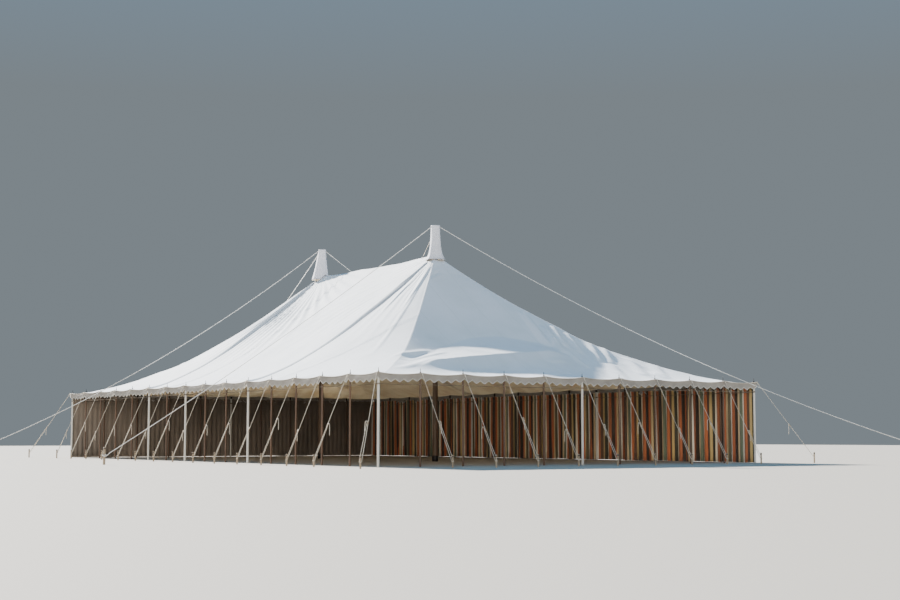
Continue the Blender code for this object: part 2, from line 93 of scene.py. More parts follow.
class Tone:
    """A value that changes over a surface. A sum written on it becomes shader nodes."""

    def __init__(self, finish, socket):
        self.finish = finish
        self.socket = socket

    __add__ = __radd__ = written_as("ADD")
    __mul__ = __rmul__ = written_as("MULTIPLY")
    __sub__ = written_as("SUBTRACT")
    __rsub__ = written_as("SUBTRACT", swapped=True)
    __truediv__ = written_as("DIVIDE")
    __gt__ = written_as("GREATER_THAN")
    __abs__ = written_as("ABSOLUTE")
    at_least = written_as("MAXIMUM")
    fraction = written_as("FRACT")

    def rise(self, low, high):
        """0 below low and 1 above high, with a soft change between."""
        settings = {"interpolation_type": "SMOOTHSTEP"}
        return self.finish.add("MapRange", settings, {0: self, 1: low, 2: high, 3: 0.0, 4: 1.0})


class Finish:
    """A painted, woven or grown surface, made of shader nodes."""

    def __init__(self, name, roughness, metallic=0.0, sheen=0.0):
        self.material = bpy.data.materials.new(name)
        self.material.use_nodes = True
        self.tree = self.material.node_tree
        self.shader = self.tree.nodes["Principled BSDF"]
        self.shader.inputs["Roughness"].default_value = roughness
        self.shader.inputs["Metallic"].default_value = metallic
        self.shader.inputs["Sheen Weight"].default_value = sheen

    def add(self, kind, settings, inputs, output=0):
        node = self.tree.nodes.new("ShaderNode" + kind)
        for name, setting in settings.items():
            setattr(node, name, setting)
        for name, value in inputs.items():
            self.feed(node.inputs[name], value)
        return Tone(self, node.outputs[output])

    def feed(self, socket, value):
        if isinstance(value, Tone):
            self.tree.links.new(value.socket, socket)
        elif isinstance(value, tuple) and len(value) == 3 and socket.type == "RGBA":
            socket.default_value = (*value, 1.0)
        else:
            socket.default_value = value

    def spot(self):
        """Place on the object, in metres."""
        return self.add("TexCoord", {}, {}, "Object")

    def axes(self):
        spot = self.spot()
        return [self.add("SeparateXYZ", {}, {0: spot}, axis) for axis in ("X", "Y", "Z")]

    def noise(self, scale, detail, stretch=(1, 1, 1)):
        spot = self.add("VectorMath", {"operation": "MULTIPLY"}, {0: self.spot(), 1: stretch})
        return self.add("TexNoise", {}, {"Vector": spot, "Scale": scale, "Detail": detail})

    def creases(self, spot, sharpness):
        """Thin raised lines that wander through a place whose three parts are given."""
        place = self.add("CombineXYZ", {}, dict(enumerate(spot)))
        lumps = self.add("TexNoise", {}, {"Vector": place, "Scale": 1.0, "Detail": 1.0})
        return (1 - abs(lumps - 0.5) * sharpness).at_least(0.0)

    def mark(self, name):
        """A number that the mesh carries at each of its points."""
        return self.add("Attribute", {"attribute_name": name}, {}, "Fac")

    def blend(self, share, first, second):
        return self.add("Mix", {"data_type": "RGBA"}, {0: share, 6: first, 7: second}, 2)

    def paint(self, colour):
        self.feed(self.shader.inputs["Base Color"], colour)

    def dull(self, roughness):
        self.feed(self.shader.inputs["Roughness"], roughness)

    def emboss(self, height, depth):
        """Raise the surface by height, which runs from 0 to 1, times depth in metres."""
        bump = self.add("Bump", {}, {"Height": height, "Distance": depth, "Strength": 1.0})
        self.feed(self.shader.inputs["Normal"], bump)


def wood_finish(name, pale, dark, roughness):
    """Straight-grained timber whose grain runs up the piece."""
    finish = Finish(name, roughness)
    grain = finish.noise(GRAIN_SCALE, 4.0, (6, 6, 0.35))
    fibre = finish.noise(GRAIN_SCALE * 14, 1.0, (1, 1, 0.05))
    soil = finish.noise(1.7, 3.0)
    shade = grain * 0.75 + soil * 0.40
    finish.paint(finish.blend(shade.rise(0.35, 0.95), dark, pale))
    finish.dull(roughness - 0.12 + grain * 0.2)
    finish.emboss(grain * 0.6 + fibre * 0.4, 0.0012)
    return finish.material


def iron_finish(name, colour, rust, roughness):
    finish = Finish(name, roughness, 0.85)
    patches = finish.noise(38.0, 5.0)
    finish.paint(finish.blend(patches.rise(0.5, 0.75), colour, rust))
    finish.dull(patches.rise(0.3, 0.8) * 0.3 + roughness - 0.1)
    finish.emboss(patches, 0.0006)
    return finish.material


class Shape:
    """Collects sheets, tubes and turned bodies as grids of points, and makes one mesh of them."""

    def __init__(self):
        self.points = []
        self.faces = []
        self.finishes = []
        self.tints = []

    def grid(self, points, looped=False, capped=False, finish=0, tint=0.5):
        """Add points[row, column]. looped joins the last column to the first."""
        points = np.asarray(points, float)
        rows, columns = points.shape[:2]
        index = len(self.points) + np.arange(rows * columns).reshape(rows, columns)
        here = index if looped else index[:, :-1]
        aside = np.roll(index, -1, axis=1) if looped else index[:, 1:]
        quads = np.stack([here[:-1], aside[:-1], aside[1:], here[1:]], axis=-1)
        faces = quads.reshape(-1, 4).tolist()
        if capped:
            faces += [index[0, ::-1].tolist(), index[-1].tolist()]
        self.points += points.reshape(-1, 3).tolist()
        self.faces += faces
        self.finishes += [finish] * len(faces)
        self.tints += np.broadcast_to(tint, (rows, columns)).ravel().tolist()

    def turn(self, profile, place, sides, capped=True, finish=0):
        """Add a turned body that stands at place, from the radius and height of its outline."""
        rings = turned_rings(profile, place, sides)
        self.grid(rings, looped=True, capped=capped, finish=finish)

    def make(self, name, finishes, weld=False):
        mesh = bpy.data.meshes.new(name)
        mesh.from_pydata(self.points, [], self.faces)
        mesh.polygons.foreach_set("material_index", self.finishes)
        mesh.attributes.new("tint", "FLOAT", "POINT").data.foreach_set("value", self.tints)
        body = bmesh.new()
        body.from_mesh(mesh)
        if weld:
            bmesh.ops.remove_doubles(body, verts=body.verts, dist=0.00005)
        bmesh.ops.recalc_face_normals(body, faces=body.faces)
        body.to_mesh(mesh)
        body.free()
        mesh.shade_smooth()
        piece = bpy.data.objects.new(name, mesh)
        bpy.context.scene.collection.objects.link(piece)
        for finish in finishes:
            mesh.materials.append(finish)
        return piece


def turned_rings(profile, place, sides):
    """Rings of a turned body from (radius, height) pairs, standing at place."""
    turns = np.arange(sides) / sides * math.tau
    rings = []
    for radius, height in profile:
        x = place[0] + radius * np.cos(turns)
        y = place[1] + radius * np.sin(turns)
        rings.append(np.stack([x, y, np.full(sides, place[2] + height)], axis=-1))
    return np.array(rings)


def spar_radius(height):
    return SPAR_FOOT_RADIUS + (SPAR_HEAD_RADIUS - SPAR_FOOT_RADIUS) * height / SPAR_NECK


larch = wood_finish("oiled_larch", (0.17, 0.105, 0.060), (0.08, 0.046, 0.026), 0.55)
black_iron = iron_finish("blacked_iron", (0.025, 0.025, 0.027), (0.10, 0.055, 0.035), 0.5)
for word, side in KING_POLES:
    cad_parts[f"king_pole_{word}"].data.materials.clear()
    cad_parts[f"king_pole_{word}"].data.materials.append(larch)
    fittings = Shape()
    for low, high in BAND_SPANS.values():
        inner = [(spar_radius(height) - BAND_LET_IN, height) for height in (low, high)]
        foot, head = [radius + BAND_LET_IN + BAND_PROUD for radius, height in inner]
        cut, rise = BAND_BEVEL
        outer = [(foot - cut, low), (foot, low + rise), (head, high - rise), (head - cut, high)]
        profile = [inner[0], *outer, inner[1]]
        fittings.turn(profile, (side * KING_X, 0, 0), LATHE_SIDES, capped=False)
    reach = spar_radius(CLEAT_HEIGHT)
    for end in (-1, 1):
        rings = turned_rings(CLEAT_HORN, (0, 0, 0), 12) * (CLEAT_SWELL, 1, end)
        rings += np.array([side * (KING_X + reach + CLEAT_OUT), 0, CLEAT_HEIGHT])
        fittings.grid(rings, looped=True, capped=True, finish=1)
    piece = fittings.make(f"king_pole_fittings_{word}", [black_iron, larch])
    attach(piece, "root")


# Crown rings: the roof cloth is laced to a welded iron ring round each king pole. Four falls of
# laid rope, shackled to the ring, hoist it to the pole head.
RING_RADIUS = 0.184
RING_WIRE = 0.012
FALL_RADIUS = 0.008
FALL_TOP_RADIUS = 0.085
FALL_TOP = 6.435
FALLS = 4
SHACKLE_WIRE = 0.005
STRANDS = 3

RING_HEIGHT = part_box("crown_ring_near")[0].z + RING_WIRE


def evenly(path, step):
    """A path again, with its points about one step apart."""
    path = np.asarray(path, float)
    lengths = np.concatenate([[0], np.cumsum(np.linalg.norm(np.diff(path, axis=0), axis=1))])
    places = np.linspace(0, lengths[-1], max(2, round(lengths[-1] / step) + 1))
    return np.stack([np.interp(places, lengths, path[:, axis]) for axis in range(3)], axis=-1)


def tube_rings(path, radii, turns):
    """Rings of points round a path. radii and turns give each ring's points in its own plane."""
    path = np.asarray(path, float)
    tangents = np.gradient(path, axis=0)
    tangents /= np.linalg.norm(tangents, axis=1, keepdims=True)
    aside = np.cross(tangents[0], (0.31, 0.17, 0.93))
    rings = []
    for place, ahead, radius, turn in zip(path, tangents, radii, turns):
        aside = aside - ahead * (aside @ ahead)
        aside /= np.linalg.norm(aside)
        over = np.cross(ahead, aside)
        across = np.cos(turn)[:, None] * aside + np.sin(turn)[:, None] * over
        rings.append(place + radius[:, None] * across)
    return np.array(rings)


def add_rope(shape, path, radius, lay, step=0.02, finish=0, hollow=0.76):
    """A laid rope along a path, its strands turning once round it in each lay."""
    path = evenly(path, step)
    lobes = np.tile([1.0, hollow], STRANDS)
    travel = np.arange(len(path))[:, None] * step / lay * math.tau
    turns = np.arange(len(lobes)) / len(lobes) * math.tau + travel
    radii = np.broadcast_to(lobes * radius, turns.shape)
    # Tint is 1 on each strand and 0 in the groove between, where the rope finishes paint shade.
    tints = np.broadcast_to(np.tile([1.0, 0.0], STRANDS), turns.shape)
    shape.grid(tube_rings(path, radii, turns), looped=True, capped=True, finish=finish, tint=tints)


def add_rod(shape, path, radius, sides):
    """A plain round rod or wire along a path."""
    radii = np.full((len(path), sides), radius)
    turns = np.broadcast_to(np.arange(sides) / sides * math.tau, (len(path), sides))
    shape.grid(tube_rings(path, radii, turns), looped=True, capped=True)


def add_ring(shape, middle, radius, wire, normal=(0, 0, 1), steps=24, sides=8, finish=0):
    """A closed ring of round wire about a middle, at right angles to its normal."""
    normal = np.asarray(normal, float) / np.linalg.norm(normal)
    first = np.cross(normal, (0.62, 0.35, 0.71))
    first /= np.linalg.norm(first)
    second = np.cross(normal, first)
    around = np.arange(steps + 1) / steps * math.tau
    turns = np.arange(sides) / sides * math.tau
    out = np.cos(around)[:, None] * first + np.sin(around)[:, None] * second
    reach = radius + wire * np.cos(turns)
    rings = np.asarray(middle) + out[:, None, :] * reach[None, :, None]
    rings = rings + normal * (wire * np.sin(turns))[None, :, None]
    shape.grid(rings, looped=True, finish=finish)


def rope_finish(name, pale, groove_shade):
    """Laid natural rope, with painted shade between its strands, fluffed by weather."""
    finish = Finish(name, 0.92, sheen=0.2)
    lint = finish.noise(160.0, 2.0)
    soil = finish.noise(2.3, 3.0)
    # The tint is 1 on the strands and 0 between them, where the groove colour is painted shade.
    share = finish.mark("tint") * 0.7 + soil.rise(0.35, 0.7) * 0.35
    finish.paint(finish.blend(share, groove_shade, pale))
    finish.emboss(lint, 0.0008)
    return finish.material


cream_rope = rope_finish("cream_rope", (0.90, 0.84, 0.72), (0.58, 0.50, 0.38))
for word, side in KING_POLES:
    tackle = Shape()
    middle = (side * KING_X, 0, RING_HEIGHT)
    add_ring(tackle, middle, RING_RADIUS, RING_WIRE, steps=48, sides=12)
    for step in range(FALLS):
        turn = math.tau * (step + 0.5) / FALLS
        out = np.array([math.cos(turn), math.sin(turn), 0])
        low = np.array(middle) + out * (RING_RADIUS - RING_WIRE / 2)
        high = np.array([side * KING_X, 0, FALL_TOP]) + out * FALL_TOP_RADIUS
        add_ring(tackle, low, RING_WIRE * 1.7, SHACKLE_WIRE, np.cross(out, (0, 0, 1)), 16, 6)
        add_rope(tackle, [low + (high - low) * 0.03, high], FALL_RADIUS, 0.09, 0.01, 1)
    piece = tackle.make(f"crown_tackle_{word}", [black_iron, cream_rope], weld=True)
    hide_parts(f"crown_ring_{word}")
    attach(piece, "root")


# Roof: three widths of proofed white canvas, laced together in line with the king poles. The cloth
# hangs in hollow curves from the crowns to the side poles, gathers in pleats under each crown,
# creases along its roped hips and lies in a slack bench across each end.
EAVE_HEIGHT = 2.10
PEAK_HEIGHT = 5.72
RIDGE_DIP = 0.05
LACE_POWER = 1.35
HIP_POWER = 1.68
END_POWER = 1.50
EAVE_BAND = 0.09            # level hem of the eave, where the eyelets are
CROWN_RADIUS = 0.182
CANVAS = 0.004
SIDE_SPACES = 15            # pole spaces along a side and across an end
END_SPACES = 10
EAVE_DIP = 0.040            # of the eave between two side poles
EAVE_PULL = 0.022           # of the eave inwards between two side poles
DIP_REACH = 0.42            # up the slope, in which the dip dies out
CLOTH_WIDTH = 0.92          # of the canvas between its sewn seams
COLUMNS = 14                # of the mesh in each pole space
MIDDLE_COLUMNS = 130        # of the mesh of the middle section
ROOF_ROWS = 130

roof_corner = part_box("roof_near_end")[1]
HALF_LENGTH = roof_corner.x
HALF_WIDTH = roof_corner.y
SLOPE_LENGTH = HALF_LENGTH - KING_X - EAVE_BAND
SLOPE_WIDTH = HALF_WIDTH - EAVE_BAND
SIDE_SPACE = 2 * HALF_LENGTH / SIDE_SPACES
END_SPACE = 2 * HALF_WIDTH / END_SPACES
SIDES = (("front", -1), ("back", 1))
ENDS = (("far", -1), ("near", 1))

# Folds of an end: plan of the start and end of each one's crest, its height, and its widths to
# the right and the left of the way from start to end. Both ends have them, each on its own front
# or back, and the far end also has the first ones, which are by the crown, on its other side.
END_FOLDS = [
    ((3.62, -0.42), (6.40, -3.84), 0.024, 0.12, 0.07),
    ((3.66, -0.38), (4.85, -2.15), 0.026, 0.10, 0.06),
    ((3.42, -0.42), (3.95, -2.10), 0.022, 0.10, 0.07),
    ((3.84, -0.20), (4.00, -0.62), 0.016, 0.06, 0.06),
    ((4.04, -0.22), (4.27, -0.80), 0.018, 0.07, 0.06),
    ((7.54, -3.95), (7.30, -2.60), 0.034, 0.09, 0.16),
    ((8.02, -3.90), (7.66, -2.45), 0.034, 0.10, 0.18),
    ((8.85, -4.60), (8.40, -3.20), 0.034, 0.14, 0.20),
    ((5.90, 2.90), (9.60, 0.70), -0.06, 0.50, 1.40),
    ((5.40, 1.48), (7.10, 1.12), 0.100, 0.20, 0.10),
    ((6.05, 1.72), (7.60, 1.20), 0.100, 0.20, 0.10),
    ((6.80, 1.48), (8.30, 1.40), 0.060, 0.20, 0.10),
    ((5.95, 2.08), (7.10, 1.62), 0.085, 0.18, 0.08),
    ((6.20, 2.36), (7.35, 1.98), 0.085, 0.17, 0.08),
    ((6.60, 2.85), (7.90, 2.20), 0.060, 0.20, 0.08),
    ((6.80, 3.16), (8.00, 2.50), 0.050, 0.18, 0.08),
    ((8.00, 2.40), (9.65, 1.60), 0.055, 0.34, 0.12),
    ((7.50, 3.40), (9.10, 2.70), 0.045, 0.26, 0.12),
    ((7.90, 4.00), (9.40, 3.10), 0.045, 0.28, 0.12),
    ((8.45, 0.20), (9.25, 0.46), 0.028, 0.09, 0.09),
    ((8.35, 0.02), (9.05, 0.18), 0.024, 0.08, 0.08),
    ((8.30, 0.15), (8.18, 0.85), 0.022, 0.08, 0.08),
]
# The slack bench across an end: how far out its upper and lower edges are, at places across it
BENCH_ACROSS = (-3.80, -3.30, -2.37, -1.16, -0.19, 0.57, 1.40)
BENCH_UPPER = (8.00, 7.62, 7.14, 6.68, 6.55, 6.70, 7.20)
BENCH_LOWER = (8.80, 8.67, 8.47, 8.26, 8.02, 7.86, 7.74)
BENCH_HEIGHT = 0.31
BENCH_DIP = 0.12            # of the cloth above it
PLEAT_RISE = 0.0190         # of the crown pleats, for each metre from the king pole
PLEAT_FULL = 1.6            # metres from the pole, past which they rise no more
PLEAT_FADE = (1.2, 4.5)     # metres from the pole, between which they die out
PLEAT_RATE = 26             # of their wave round the pole
PLEAT_NEAR = 0.25           # share of their rise that is left at the near pole
CROWN_FOLDS = 5             # how many of the folds are by the crown
CROWN_FOLD_SHARE = 0.6      # of their height on the other side of the far end
LATTICE = 96                # points to a side of the random heights
BELLIES = [(0.014, 1.30, 1), (0.006, 0.45, 2)]      # height, size and seed of the cloth's lumps


def roof_height(x, y):
    """Height of the taut cloth over points of the plan, as the frame has it."""
    along = np.maximum(0, np.abs(x) - KING_X) / SLOPE_LENGTH
    across = np.abs(y) / SLOPE_WIDTH
    out = np.maximum(along, across)
    share = np.minimum(along, across) / np.maximum(out, 1e-6)
    start = np.where(across >= along, LACE_POWER, END_POWER)
    power = start + (HIP_POWER - start) * share ** 2
    dip = RIDGE_DIP * np.maximum(0, 1 - (x / KING_X) ** 2)
    rise = PEAK_HEIGHT - EAVE_HEIGHT - dip
    return EAVE_HEIGHT + rise * (1 - np.minimum(1, out)) ** power


def soft_step(value, low, high):
    share = np.clip((value - low) / (high - low), 0, 1)
    return share * share * (3 - 2 * share)


def arch(share):
    """1 at the middle of a stretch and 0 at both its ends."""
    return 4 * share * (1 - share)


def fold_height(x, y, start, end, height, right, left):
    """Height of one fold of the cloth, which dies out at its ends and on each side of its crest."""
    span = (end[0] - start[0], end[1] - start[1])
    length = math.hypot(*span)
    share = ((x - start[0]) * span[0] + (y - start[1]) * span[1]) / length ** 2
    aside = ((y - start[1]) * span[0] - (x - start[0]) * span[1]) / length
    away = np.where(aside < 0, -aside / right, aside / left)
    taper = np.clip(arch(share), 0, 1)
    away = np.minimum(away, 1)
    return height * np.sqrt(taper) * (1 - away) * (1 + 0.6 * away)


def bench_height(x, y):
    """Height that the slack bench adds: a dip above it, a flat rise, then a fuller fall below."""
    upper = np.interp(y, BENCH_ACROSS, BENCH_UPPER)
    lower = np.interp(y, BENCH_ACROSS, BENCH_LOWER)
    before = np.clip((x - KING_X - 1) / (upper - KING_X - 1), 0, 1)
    within = np.clip((x - upper) / (lower - upper), 0, 1)
    after = np.clip((x - lower) / (HALF_LENGTH - 0.04 - lower), 0, 1)
    rise = BENCH_HEIGHT * within - BENCH_DIP * before ** 1.5
    crease = roof_height(lower, y) - EAVE_HEIGHT + BENCH_HEIGHT - BENCH_DIP
    fall = crease * (1 - after) ** 2.2 - (roof_height(x, y) - EAVE_HEIGHT)
    fade = soft_step(y, -4.4, -3.3) * (1 - soft_step(y, 0.4, 1.5))
    return np.where(x < lower, rise, fall) * fade


def unevenness(x, y, size, seed):
    """Smooth random height from -1 to 1, in lumps of about the given size."""
    lattice = np.random.default_rng(seed).uniform(-1, 1, (LATTICE, LATTICE))
    (column, u), (row, v) = [np.divmod(np.asarray(axis) / size + LATTICE // 2, 1) for axis in (x, y)]
    column, row = [part.astype(int) % (LATTICE - 1) for part in (column, row)]
    u, v = [part * part * (3 - 2 * part) for part in (u, v)]
    near = lattice[row, column] * (1 - u) + lattice[row, column + 1] * u
    far = lattice[row + 1, column] * (1 - u) + lattice[row + 1, column + 1] * u
    return near * (1 - v) + far * v


def between_poles(x, y):
    """Slack of the eave at points of the plan: 1 at the edge halfway between two side poles."""
    side_slack = arch((x + HALF_LENGTH) / SIDE_SPACE % 1)
    end_slack = arch((y + HALF_WIDTH) / END_SPACE % 1)
    side_fade = np.exp(-((HALF_WIDTH - np.abs(y)) / DIP_REACH) ** 2)
    end_fade = np.exp(-((HALF_LENGTH - np.abs(x)) / DIP_REACH) ** 2)
    return side_slack * side_fade, end_slack * end_fade


def cloth_height(x, y):
    """Height of the top of the roof cloth with its pleats, folds, belly and slack eave."""
    height = roof_height(x, y)
    along = (np.abs(x) - KING_X) / SLOPE_LENGTH
    across = np.abs(y) / SLOPE_WIDTH
    out = np.maximum(np.abs(along), across)
    reach = out * SLOPE_WIDTH
    turn = np.arctan2(np.abs(y), np.abs(x) - KING_X)
    gather = np.minimum(reach, PLEAT_FULL) * (1 - soft_step(reach, *PLEAT_FADE))
    gather = gather * soft_step(turn, 0.8, 1.1)
    pleats = 1 - 2 * np.abs(np.sin(turn * PLEAT_RATE + 2.5 * unevenness(x, y, 1.7, 3)))
    deep = PLEAT_NEAR + (1 - PLEAT_NEAR) * soft_step(-x, -0.5, 1.5)
    height = height + PLEAT_RISE * gather * pleats * deep
    for step, fold in enumerate(END_FOLDS):
        height = height + fold_height(x, y, *fold) + fold_height(-x, -y, *fold)
        if step < CROWN_FOLDS:
            height = height + CROWN_FOLD_SHARE * fold_height(-x, y, *fold)
    for facing in (-1, 1):
        height = height + bench_height(facing * x, facing * y)
    inner = np.clip((1 - out) / 0.12, 0, 1)
    height = height + inner * sum(rise * unevenness(x, y, size, seed) for rise, size, seed in BELLIES)
    side_slack, end_slack = between_poles(x, y)
    return height - EAVE_DIP * (side_slack + end_slack)


def cloth_points(x, y):
    """Points of the roof cloth over the plan; the edge is drawn in between the side poles."""
    side_slack, end_slack = between_poles(x, y)
    height = cloth_height(x, y)
    x = x - np.sign(x) * EAVE_PULL * end_slack
    y = y - np.sign(y) * EAVE_PULL * side_slack
    return np.stack([x, y, height], axis=-1)


def canvas_finish(name, cloth, tape, soil):
    """Proofed canvas: sewn seams down each slope, taped hips, patches and rain marks."""
    finish = Finish(name, 0.78, sheen=0.15)
    x, y = finish.axes()[:2]
    along = (abs(x) - KING_X) / SLOPE_LENGTH
    across = abs(y) / SLOPE_WIDTH
    end_slope = along > across
    lap = end_slope * abs(y) + (1 - end_slope) * abs(x)
    lap = abs((lap / CLOTH_WIDTH + 0.5).fraction() - 0.5) * CLOTH_WIDTH
    seam = 1 - lap.rise(0.010, 0.014)
    stitch = 1 - abs(lap - 0.008).rise(0.0005, 0.0025)
    hip = 1 - (abs(along - across) * SLOPE_WIDTH).rise(0.030, 0.040)
    out = along.at_least(across)
    hem = out.rise(0.985, 0.987)
    patch = 1 - (out * SLOPE_WIDTH).rise(0.62, 0.63)
    cloudy = finish.noise(0.55, 4.0)
    streaks = finish.noise(1.6, 5.0, (1, 1, 0.25))
    weave = finish.noise(420.0, 1.0)
    marks = cloudy.rise(0.35, 0.75) * 0.55 + streaks.rise(0.45, 0.8) * 0.4
    colour = finish.blend(marks, cloth, soil)
    doubled = (hip + hem * 0.6 + patch * 0.35).rise(0.0, 1.0)
    colour = finish.blend(doubled, colour, tape)
    finish.paint(finish.blend(seam * 0.45 + stitch * 0.25, colour, soil))
    end = x / abs(x)
    ahead = abs(x) - KING_X
    turn = finish.add("Math", {"operation": "ARCTAN2"}, {0: abs(y), 1: ahead})
    reach = out * SLOPE_WIDTH
    fan = finish.creases((turn * 8.0, reach * 0.30, end * 5.0), 3.2)
    fan = fan * turn.rise(0.70, 0.95) * (1 - reach.rise(0.4, 3.0))
    slack = finish.creases((x * 0.50, y * 2.1, end * 5.0), 7.0)
    slack = slack * (y * end).rise(0.9, 1.6) * end_slope * out.rise(0.35, 0.7)
    folds = fan * 3.5 + slack * 4.0
    finish.emboss(folds + seam * 0.5 + hip * 0.7 + hem * 0.4 + patch * 0.4 + weave * 0.10, 0.004)
    return finish.material


def underside_finish():
    """Inner face of the canvas, with dark seams and a warm tan that is painted light from below."""
    finish = Finish("canvas_underside", 0.85)
    x = finish.axes()[0]
    lap = abs((abs(x) / CLOTH_WIDTH + 0.5).fraction() - 0.5) * CLOTH_WIDTH
    seam = 1 - lap.rise(0.010, 0.015)
    mottle = finish.noise(2.4, 5.0)
    # Painted light: both tans stand in for warm light thrown up from below onto the inner face.
    colour = finish.blend(mottle.rise(0.3, 0.75), (0.71, 0.65, 0.55), (0.59, 0.51, 0.41))
    finish.paint(finish.blend(seam * 0.5, colour, (0.46, 0.38, 0.29)))
    finish.emboss(mottle * 0.6 + seam * 0.4, 0.004)
    finish.shader.inputs["Subsurface Weight"].default_value = 0.5
    finish.shader.inputs["Subsurface Scale"].default_value = 0.01
    finish.shader.inputs["Subsurface Radius"].default_value = (1.0, 0.97, 0.92)
    return finish.material


def thicken(piece, thickness, lined=True):
    """Give a sheet its thickness below the face. If lined, its second material is underneath."""
    solid = piece.modifiers.new("cloth", "SOLIDIFY")
    solid.thickness = thickness
    solid.offset = -1
    solid.material_offset = int(lined)


roof_canvas = canvas_finish("roof_canvas", (0.80, 0.83, 0.86), (0.88, 0.89, 0.90), (0.66, 0.70, 0.72))
underside = underside_finish()


def end_section(facing):
    """An end of the roof, in rays from the crown to the eave all round it."""
    spaces = SIDE_SPACES // 3
    side = np.linspace(0, SIDE_SPACE * spaces, COLUMNS * spaces + 1)
    end = np.linspace(-HALF_WIDTH, HALF_WIDTH, COLUMNS * END_SPACES + 1)[1:-1]
    depth = HALF_LENGTH - KING_X
    rim_x = np.concatenate([side, np.full(len(end), depth), side[::-1]])
    rim_y = np.concatenate([np.full(len(side), -HALF_WIDTH), end, np.full(len(side), HALF_WIDTH)])
    start = CROWN_RADIUS / np.hypot(rim_x, rim_y)
    rows = np.linspace(0, 1, ROOF_ROWS + 1)[:, None]
    share = start + (1 - start) * rows
    x = facing * (KING_X + rim_x * share)
    return cloth_points(x, facing * rim_y * share)


def middle_half(side):
    """Half of the middle section, from the ridge down to one eave."""
    near_pole = CROWN_RADIUS * np.sin(np.linspace(0, 1, 7) * math.pi / 2)
    columns = np.linspace(-KING_X + CROWN_RADIUS, KING_X - CROWN_RADIUS, MIDDLE_COLUMNS + 1)
    x = np.concatenate([near_pole[:-1] - KING_X, columns, KING_X - near_pole[-2::-1]])
    off = KING_X - np.abs(x)
    hole = np.sqrt(np.clip(CROWN_RADIUS ** 2 - off ** 2, 0, None))
    rows = np.linspace(0, 1, ROOF_ROWS + 1)[:, None]
    y = hole + (HALF_WIDTH - hole) * rows
    x = np.broadcast_to(x, y.shape)
    return cloth_points(x, side * y)


ROOF_SECTIONS = {
    "far": ("roof_far_end", [end_section(-1)], ["crown_tackle_far"], (8.6, 13.8), 86.0),
    "middle": ("roof_middle", [middle_half(-1)[::-1], middle_half(1)],
               ["crown_tackle_far", "crown_tackle_near"], (6.7, 13.8), 86.0),
    "near": ("roof_near_end", [end_section(1)], ["crown_tackle_near"], (8.6, 13.8), 86.0),
}
for word, (node, grids, carried_by, flat, area) in ROOF_SECTIONS.items():
    section = Shape()
    for points in grids:
        section.grid(points)
    piece = section.make(f"roof_cloth_{word}", [roof_canvas, underside], weld=True)
    thicken(piece, CANVAS)
    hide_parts(node)
    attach(piece, "root")


# Laced seams: each pair of roof widths is joined by rope loops through brass eyelets in its edges.
# A flap of the same canvas, sewn to one edge, lies over the lacing and keeps the rain out.
FLAP_WIDTH = (0.27, 0.17)   # near the crown and at the eave
FLAP_LIFT = (0.085, 0.030)  # of its crest, in the same places
FLAP_START = 0.30           # from the ridge
FLAP_CREST = -0.35          # place of its crest across it, from -1 to 1
FLAP_CLOTH = 0.002
LACING_PITCH = 0.16
LACING_RADIUS = 0.004
EYELET_RADIUS = 0.009
EYELET_WIRE = 0.0025

flap_cloth = Finish("flap_canvas", 0.8, sheen=0.15)
fray = flap_cloth.noise(30.0, 3.0)
# The flap's tint carries painted shade: grey-blue on its side away from the light near the crown, and a
# painted shadow line along its outer edge.
edge = flap_cloth.mark("tint")
shaded_flap_colour = flap_cloth.blend(edge.rise(0.1, 0.9), (0.80, 0.83, 0.85), (0.40, 0.43, 0.47))
flap_cloth.paint(flap_cloth.blend(fray * 0.3, shaded_flap_colour, (0.68, 0.71, 0.73)))
flap_cloth.emboss(fray, 0.002)
for word, seam_x in (("far", -KING_X), ("near", KING_X)):
    lacing = Shape()
    for label, side in SIDES:
        down = np.linspace(FLAP_START, HALF_WIDTH - 0.02, 120)[:, None]
        across = np.linspace(-1, 1, 13)[None, :]
        low_down = soft_step(down, 1.6, 4.2)
        taper = 0.45 + 0.55 * np.clip((down - FLAP_START) / 0.8, 0, 1)
        width = FLAP_WIDTH[0] + (FLAP_WIDTH[1] - FLAP_WIDTH[0]) * low_down
        x = seam_x + across * width / 2 * taper + 0.010 * np.sin(down * 2.1)
        y = side * down + 0 * x
        crest = FLAP_LIFT[0] + (FLAP_LIFT[1] - FLAP_LIFT[0]) * low_down
        away = across - FLAP_CREST
        away = np.where(away < 0, -away / (1 + FLAP_CREST), away / (1 - FLAP_CREST))
        points = cloth_points(x, y)
        points[..., 2] += 0.004 + crest * taper * np.cos(away * math.pi / 2) ** 1.3
        flap = Shape()
        # Painted shade: darker towards the side away from the light on the upper slope, and along the
        # outer edge for the shadow the flap casts.
        tint = (0.35 + 0.65 * np.clip(across, 0, 1)) * (1 - low_down) + (across > 0.7) * 0.5
        flap.grid(points, tint=tint)
        piece = flap.make(f"lace_flap_{label}_{word}", [flap_cloth.material, underside])
        thicken(piece, FLAP_CLOTH)
        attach(piece, "root")
        stations = np.arange(0.35, HALF_WIDTH - 0.1, LACING_PITCH / 2)
        zig = np.where(np.arange(len(stations)) % 2, 0.03, -0.03)
        under = cloth_points(seam_x + zig, side * stations)
        under[:, 2] -= CANVAS + LACING_RADIUS + 0.003
        add_rod(lacing, evenly(under, 0.03), LACING_RADIUS, 6)
        for spot in under:
            spot = spot + (0, 0, LACING_RADIUS)
            add_ring(lacing, spot, EYELET_RADIUS, EYELET_WIRE, steps=10, sides=4, finish=1)
    brass = iron_finish(f"eyelet_brass_{word}", (0.42, 0.32, 0.14), (0.20, 0.14, 0.07), 0.4)
    piece = lacing.make(f"lacing_{word}", [cream_rope, brass])
    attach(piece, "root")


